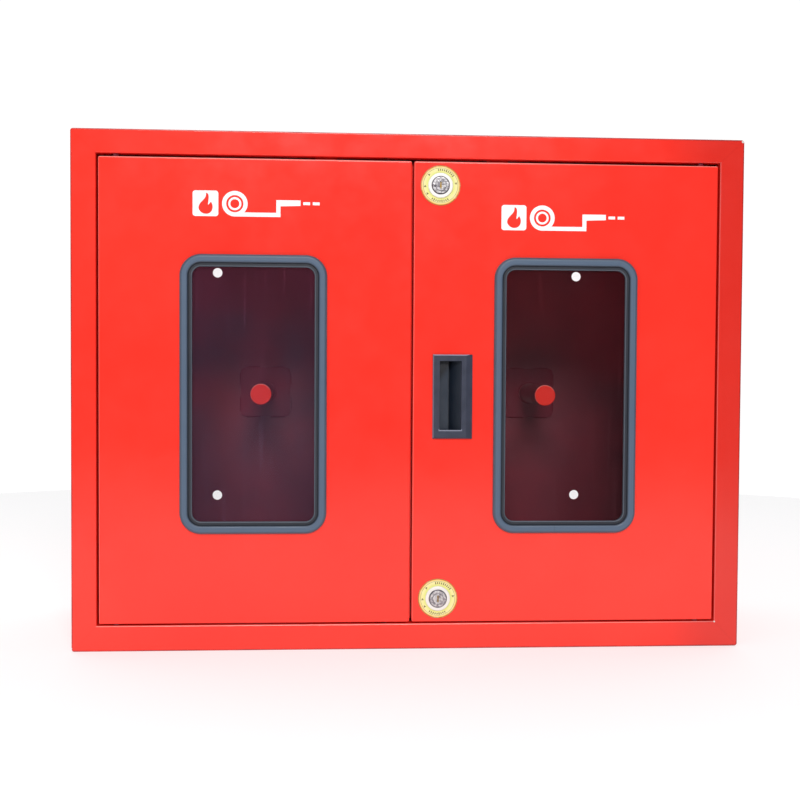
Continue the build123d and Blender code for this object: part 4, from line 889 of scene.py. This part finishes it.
def wafer_tree(material):
    """A stack of thin wafers, one at each point, alternately high and low in the keyway."""
    sockets = [("Wafer", "NodeSocketVector"), ("Stagger", "NodeSocketFloat")]
    tree, given = tree_with_inputs("keyway_wafers", sockets)
    wafer = add(tree, "GeometryNodeMeshCube", {"Size": given["Wafer"]})
    index = add(tree, "GeometryNodeInputIndex")
    odd = add(tree, "ShaderNodeMath", {0: index, 1: 2.0}, operation="MODULO")
    sign = add(tree, "ShaderNodeMath", {0: odd, 1: 2.0, 2: -1.0}, operation="MULTIPLY_ADD")
    lift = add(tree, "ShaderNodeMath", {0: sign, 1: given["Stagger"]}, operation="MULTIPLY")
    offset = add(tree, "ShaderNodeCombineXYZ", {"Z": lift})
    inputs = {"Geometry": given["Geometry"], "Offset": offset}
    moved = add(tree, "GeometryNodeSetPosition", inputs)
    stack = add(tree, "GeometryNodeInstanceOnPoints", {"Points": moved, "Instance": wafer})
    close_tree(tree, stack, material)
    return tree


def clock_direction(degrees):
    """The direction at an angle clockwise from the top, as seen from the front."""
    turn = math.radians(degrees)
    return Vector((math.sin(turn), 0, math.cos(turn)))


def circle_points(middle, radius, count):
    """Points round a circle that faces the front."""
    return [middle + radius * clock_direction(360 * step / count) for step in range(count)]


def marked_points(name, points, **attributes):
    """A mesh of loose points, with a value or a direction on each for every attribute given."""
    mesh = bpy.data.meshes.new(name)
    mesh.from_pydata(points, [], [])
    for label, values in attributes.items():
        is_direction = isinstance(values[0], Vector)
        layer = mesh.attributes.new(label, "FLOAT_VECTOR" if is_direction else "FLOAT", "POINT")
        for item, value in zip(layer.data, values):
            setattr(item, "vector" if is_direction else "value", value)
    return mesh


# ---------------------------------------------------------------- operators
class HOSECABINET_OT_enamel(bpy.types.Operator):
    """Spray the case, the leaves and the hose pegs"""

    bl_idname = "hosecabinet.enamel"
    bl_label = "Spray the Enamel"

    def execute(self, context):
        paint = context.scene.cabinet_paint
        panels = [f"{part}_panel" for part in ("top", "bottom", "left_side", "right_side", "back")]
        paint_nodes([*panels, "door_stops"], enamel(paint, "case_gloss_enamel", of_case=True))
        doors = ["left_door_leaf", "right_door_leaf", "meeting_strip"]
        paint_nodes(doors, enamel(paint, "leaf_gloss_enamel"))
        paint_nodes([f"{side}_peg_cap" for side in SIDES], enamel(paint, "peg_gloss_enamel"))
        # The pegs, their plates and the hinge washers are darker all over, as painted shade.
        shaded = [f"{side}_{part}" for side in SIDES for part in ("hose_peg", "peg_plate")]
        paint_nodes([*shaded, "hinge_washers"], enamel(paint, "shaded_inside_enamel", shaded_everywhere=True))
        return {"FINISHED"}


class HOSECABINET_OT_glazing(bpy.types.Operator):
    """Fit the glass and the window rubber"""

    bl_idname = "hosecabinet.glazing"
    bl_label = "Glaze the Leaves"

    def execute(self, context):
        paint = context.scene.cabinet_paint
        for side, haze in PANE_HAZE.items():
            paint_nodes([f"{side}_window_glass"], float_glass(paint, side, haze))
            paint_nodes([f"{side}_window_gasket"], extruded_rubber(paint, side))
        return {"FINISHED"}


class HOSECABINET_OT_hardware(bpy.types.Operator):
    """Finish the locks, bolts, pivots, buffers and pull"""

    bl_idname = "hosecabinet.hardware"
    bl_label = "Finish the Hardware"

    def execute(self, context):
        paint = context.scene.cabinet_paint
        for end in ENDS:
            paint_nodes([f"{end}_lock_housing", f"{end}_lock_plug"], chrome_plate(end))
        fittings = ("lock_nut", "lock_cam", "lock_washer", "lock_screw", "bolt_guide", "bolt_rod")
        zinc = [f"{end}_{part}" for end in ENDS for part in fittings]
        zinc += ["hinge_pins", "left_hinge_bushes", "right_hinge_bushes"]
        paint_nodes(zinc, zinc_plate())
        paint_nodes(["flush_pull", "bottom_bolt_knob", "top_bolt_knob"], moulded_plastic(paint))
        paint_nodes(["door_buffers"], buffer_rubber())
        return {"FINISHED"}


class HOSECABINET_OT_labels(bpy.types.Operator):
    """Print the door films, the lock rings and their ticks"""

    bl_idname = "hosecabinet.labels"
    bl_label = "Apply the Labels"

    def execute(self, context):
        labels = context.scene.cabinet_labels
        paint_nodes([f"{side}_door_film" for side in SIDES], cut_film(labels))
        ink = printed_ink(labels)
        ticks, arrows = tick_tree(ink), arrow_tree(ink)
        tick_values = {
            "Tick Length": labels.tick_length,
            "Tick Width": labels.tick_width,
            "Thickness": PRINT_THICKNESS,
        }
        arrow_values = {"Arrow Size": labels.arrow_size, "Thickness": PRINT_THICKNESS}
        for end in ENDS:
            paint_nodes([f"{end}_lock_label"], printed_ring(labels, end))
            low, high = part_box(f"{end}_lock_label")
            middle = Vector(((low.x + high.x) / 2, low.y, (low.z + high.z) / 2))
            bezel_low, bezel_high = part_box(f"{end}_lock_housing")
            ring = ((high.x - low.x) + (bezel_high.x - bezel_low.x)) / 4 - PRINT_INSET
            angles = [start + TICK_STEP * step for start in TICK_GROUPS for step in range(labels.ticks)]
            outward = [clock_direction(angle) for angle in angles]
            lengths = [1.0 if step % 4 == 0 else SHORT_TICK for step in range(len(angles))]
            points = [middle + ring * direction for direction in outward]
            mesh = marked_points(f"{end}_ticks", points, outward=outward, length_share=lengths)
            grow(f"{end}_lock_ticks", mesh, ticks, tick_values, "right_door")
            along = [clock_direction(angle + 90) for angle in ARROW_ANGLES]
            points = [middle + ring * clock_direction(angle) for angle in ARROW_ANGLES]
            mesh = marked_points(f"{end}_arrows", points, along=along)
            grow(f"{end}_lock_arrows", mesh, arrows, arrow_values, "right_door")
        return {"FINISHED"}


class HOSECABINET_OT_wafers(bpy.types.Operator):
    """Stack the brass wafers in each lock's keyway"""

    bl_idname = "hosecabinet.wafers"
    bl_label = "Fit the Lock Wafers"

    def execute(self, context):
        tree = wafer_tree(lock_brass())
        count, pitch, setback = 4, 1.0 * MM, 0.8 * MM
        for end in ENDS:
            middle = centre(f"{end}_lock_plug")
            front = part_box(f"{end}_lock_plug")[0].y + setback
            points = [Vector((middle.x, front + step * pitch, middle.z)) for step in range(count)]
            mesh = bpy.data.meshes.new(f"{end}_wafers")
            mesh.from_pydata(points, [], [])
            values = {"Wafer": (1.3 * MM, 0.5 * MM, 5.4 * MM), "Stagger": 0.9 * MM}
            grow(f"{end}_lock_wafers", mesh, tree, values, f"{end}_lock")
        return {"FINISHED"}


class HOSECABINET_OT_welds(bpy.types.Operator):
    """Lay the weld beads and the spot welds"""

    bl_idname = "hosecabinet.welds"
    bl_label = "Lay the Welds"

    def execute(self, context):
        welds = context.scene.cabinet_welds
        # Welds inside the case are darker all over, as painted shade.
        inside = enamel(context.scene.cabinet_paint, "shaded_weld_enamel", shaded_everywhere=True)
        outside = enamel(context.scene.cabinet_paint, "enamelled_weld")
        bead = {"Bead Radius": welds.bead_radius, "Ripple": welds.ripple, "Seed": 7}
        small = {**bead, "Bead Radius": 0.6 * welds.bead_radius, "Seed": 11}
        spot = {"Spot Radius": welds.spot_radius, "Pitch": welds.spot_pitch, "Rise": 0.35 * MM}
        lay = (
            ("peg_welds", peg_weld_paths(), weld_bead_tree(inside), bead, "cabinet"),
            ("guide_welds", guide_weld_paths(), weld_bead_tree(outside), small, "left_door"),
            ("flange_spot_welds", rear_flange_paths(), spot_weld_tree(inside), spot, "cabinet"),
            ("strip_spot_welds", strip_paths(), spot_weld_tree(outside), spot, "left_door"),
        )
        for name, paths, tree, values, body in lay:
            grow(name, polyline_mesh(name, paths), tree, values, body)
        return {"FINISHED"}


def peg_weld_paths():
    """A bead round each peg's foot, and short beads along its plate's four edges."""
    paths = []
    bead_half = 9 * MM
    for side in SIDES:
        peg_low, peg_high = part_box(f"{side}_hose_peg")
        plate_low, plate_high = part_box(f"{side}_peg_plate")
        radius = (peg_high.x - peg_low.x) / 2
        foot = Vector(((peg_low.x + peg_high.x) / 2, plate_low.y, (peg_low.z + peg_high.z) / 2))
        sunk_back = plate_high.y - SHEET * 0.6
        ring = circle_points(foot, radius + 0.3 * MM, 40)
        paths.append(ring + ring[:1])
        half = (plate_high.x - plate_low.x) / 2
        for turn in range(4):
            angle = turn * math.pi / 2
            outward = Vector((math.sin(angle), 0, math.cos(angle)))
            along = Vector((math.cos(angle), 0, -math.sin(angle)))
            for share in (-0.5, 0.5):
                middle = Vector((foot.x, sunk_back, foot.z)) + outward * half + along * half * share
                paths.append([middle - along * bead_half, middle + along * bead_half])
    return paths


def guide_weld_paths():
    """Two short beads down each side of each bolt guide."""
    paths = []
    bead_half = 6 * MM
    for end in ENDS:
        low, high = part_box(f"{end}_bolt_guide")
        for x in (low.x, high.x):
            for share in (0.25, 0.75):
                z = low.z + share * (high.z - low.z)
                paths.append([Vector((x, low.y, z - bead_half)), Vector((x, low.y, z + bead_half))])
    return paths


def rear_flange_paths():
    """A closed rectangle along the middle of the rear flanges, on their inner face."""
    y = CASE_BACK - 2 * SHEET
    x = CASE_SIDE - FLANGE_MIDDLE
    low, high = FLANGE_MIDDLE, CASE_TOP - FLANGE_MIDDLE
    corners = [Vector((x, y, low)), Vector((x, y, high)), Vector((-x, y, high)), Vector((-x, y, low))]
    return [corners + corners[:1]]


def strip_paths():
    """A line down the meeting strip's welded half, on its back face."""
    low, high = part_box("meeting_strip")
    x = low.x + 3.6 * MM
    inset = 20 * MM
    return [[Vector((x, high.y, low.z + inset)), Vector((x, high.y, high.z - inset))]]


class HOSECABINET_OT_studio(bpy.types.Operator):
    """Set the floor, the lights and the camera"""

    bl_idname = "hosecabinet.studio"
    bl_label = "Set the Studio"

    def execute(self, context):
        studio = context.scene.cabinet_studio
        lay_floor(studio)
        middle = (0, FRONT, CASE_TOP / 2)
        place_light("front_softbox", (0.0, -3.5, 2.35), middle, 1.6, 1.1, studio.front_power)
        place_light("top_softbox", (-0.5, -1.2, 2.1), middle, 1.6, 0.9, studio.top_power)
        place_light("side_softbox", (-2.2, -1.7, 0.9), middle, 1.6, 1.6, studio.side_power)
        shade_world()
        place_camera()
        context.scene.view_settings.view_transform = "Standard"
        return {"FINISHED"}


def lay_floor(studio):
    """A wide round floor at the cabinet's foot."""
    count, radius, height = 96, 1.7, -0.3 * MM
    turns = [2 * math.pi * step / count for step in range(count)]
    verts = [(radius * math.cos(turn), radius * math.sin(turn), height) for turn in turns]
    mesh = bpy.data.meshes.new("studio_floor")
    mesh.from_pydata(verts, [], [list(range(count))])
    floor = bpy.data.objects.new("studio_floor", mesh)
    bpy.context.scene.collection.objects.link(floor)
    material, tree, _ = new_material("matt_studio_floor")
    inputs = {
        "Base Color": (*(channel * 0.6 for channel in studio.floor), 1.0),
        "Roughness": 0.9,
        "IOR": 1.3,
        "Emission Color": rgba(studio.floor),
        "Emission Strength": 0.55,
    }
    screed = add(tree, "ShaderNodeBsdfPrincipled", inputs)
    add(tree, "ShaderNodeOutputMaterial", {"Surface": screed})
    mesh.materials.append(material)


def place_light(name, place, target, width, height, power):
    """A soft rectangular light aimed at a point."""
    lamp = bpy.data.lights.new(name, "AREA")
    lamp.shape = "RECTANGLE"
    lamp.size, lamp.size_y = width, height
    lamp.energy = power
    light = bpy.data.objects.new(name, lamp)
    aim = (Vector(target) - Vector(place)).to_track_quat("-Z", "Y")
    light.matrix_world = Matrix.Translation(place) @ aim.to_matrix().to_4x4()
    bpy.context.scene.collection.objects.link(light)


def shade_world():
    """A studio that is white behind the cabinet and dim in front of it, so that the panes stay dark."""
    world = bpy.data.worlds.new("studio")
    bpy.context.scene.world = world
    world.use_nodes = True
    tree = world.node_tree
    tree.nodes.clear()
    direction = add(tree, "ShaderNodeTexCoord").outputs["Generated"]
    axes = add(tree, "ShaderNodeSeparateXYZ", {0: direction}).outputs
    by_depth = {0: axes["Y"], 1: -0.35, 2: 0.45}
    behind = add(tree, "ShaderNodeMapRange", by_depth, interpolation_type="SMOOTHSTEP")
    backdrop = {0: behind, 6: linear("#67666d"), 7: linear("#ffffff")}
    colour = add(tree, "ShaderNodeMix", backdrop, data_type="RGBA")
    light = add(tree, "ShaderNodeBackground", {"Color": colour, "Strength": 1.05})
    add(tree, "ShaderNodeOutputWorld", {"Surface": light})


def place_camera():
    """A standing viewer's camera, a little left of the middle and above the panes' centre."""
    eye = (-0.0978, -1.43435, 0.3220)
    yaw, pitch, roll = (math.radians(angle) for angle in (3.69, -1.84, 0.35))
    forward = Vector((math.sin(yaw) * math.cos(pitch), math.cos(yaw) * math.cos(pitch), math.sin(pitch)))
    level = Vector((math.cos(yaw), -math.sin(yaw), 0))
    upright = level.cross(forward)
    right = math.cos(roll) * level + math.sin(roll) * upright
    up = -math.sin(roll) * level + math.cos(roll) * upright
    lens = bpy.data.cameras.new("camera")
    lens.lens = 53.05
    lens.sensor_width = 36.0
    camera = bpy.data.objects.new("camera", lens)
    axes = Matrix((right, up, -forward)).transposed().to_4x4()
    camera.matrix_world = Matrix.Translation(eye) @ axes
    bpy.context.scene.collection.objects.link(camera)
    bpy.context.scene.camera = camera


# ---------------------------------------------------------------- panel and registration
STEPS = (
    HOSECABINET_OT_enamel,
    HOSECABINET_OT_glazing,
    HOSECABINET_OT_hardware,
    HOSECABINET_OT_labels,
    HOSECABINET_OT_wafers,
    HOSECABINET_OT_welds,
    HOSECABINET_OT_studio,
)


class HOSECABINET_PT_sidebar(bpy.types.Panel):
    """The cabinet's steps and settings"""

    bl_label = "Hose Cabinet"
    bl_idname = "HOSECABINET_PT_sidebar"
    bl_space_type = "VIEW_3D"
    bl_region_type = "UI"
    bl_category = "Hose Cabinet"

    def draw(self, context):
        for group in SETTINGS:
            settings = getattr(context.scene, group)
            box = self.layout.box()
            for name in settings.__annotations__:
                box.prop(settings, name)
        for step in STEPS:
            self.layout.operator(step.bl_idname)


SETTINGS = {
    "cabinet_paint": CabinetPaint,
    "cabinet_labels": CabinetLabels,
    "cabinet_welds": CabinetWelds,
    "cabinet_studio": CabinetStudio,
}
CLASSES = (*SETTINGS.values(), *STEPS, HOSECABINET_PT_sidebar)


def register():
    """Register the classes and hang the settings on the scene."""
    for cls in CLASSES:
        bpy.utils.register_class(cls)
    for name, group in SETTINGS.items():
        setattr(bpy.types.Scene, name, PointerProperty(type=group))


def unregister():
    """Take the settings and classes away again."""
    for name in SETTINGS:
        delattr(bpy.types.Scene, name)
    for cls in reversed(CLASSES):
        bpy.utils.unregister_class(cls)


def main():
    """Finish the cabinet step by step."""
    register()
    for step in STEPS:
        group, name = step.bl_idname.split(".")
        getattr(getattr(bpy.ops, group), name)()


if __name__ == "__main__":
    main()
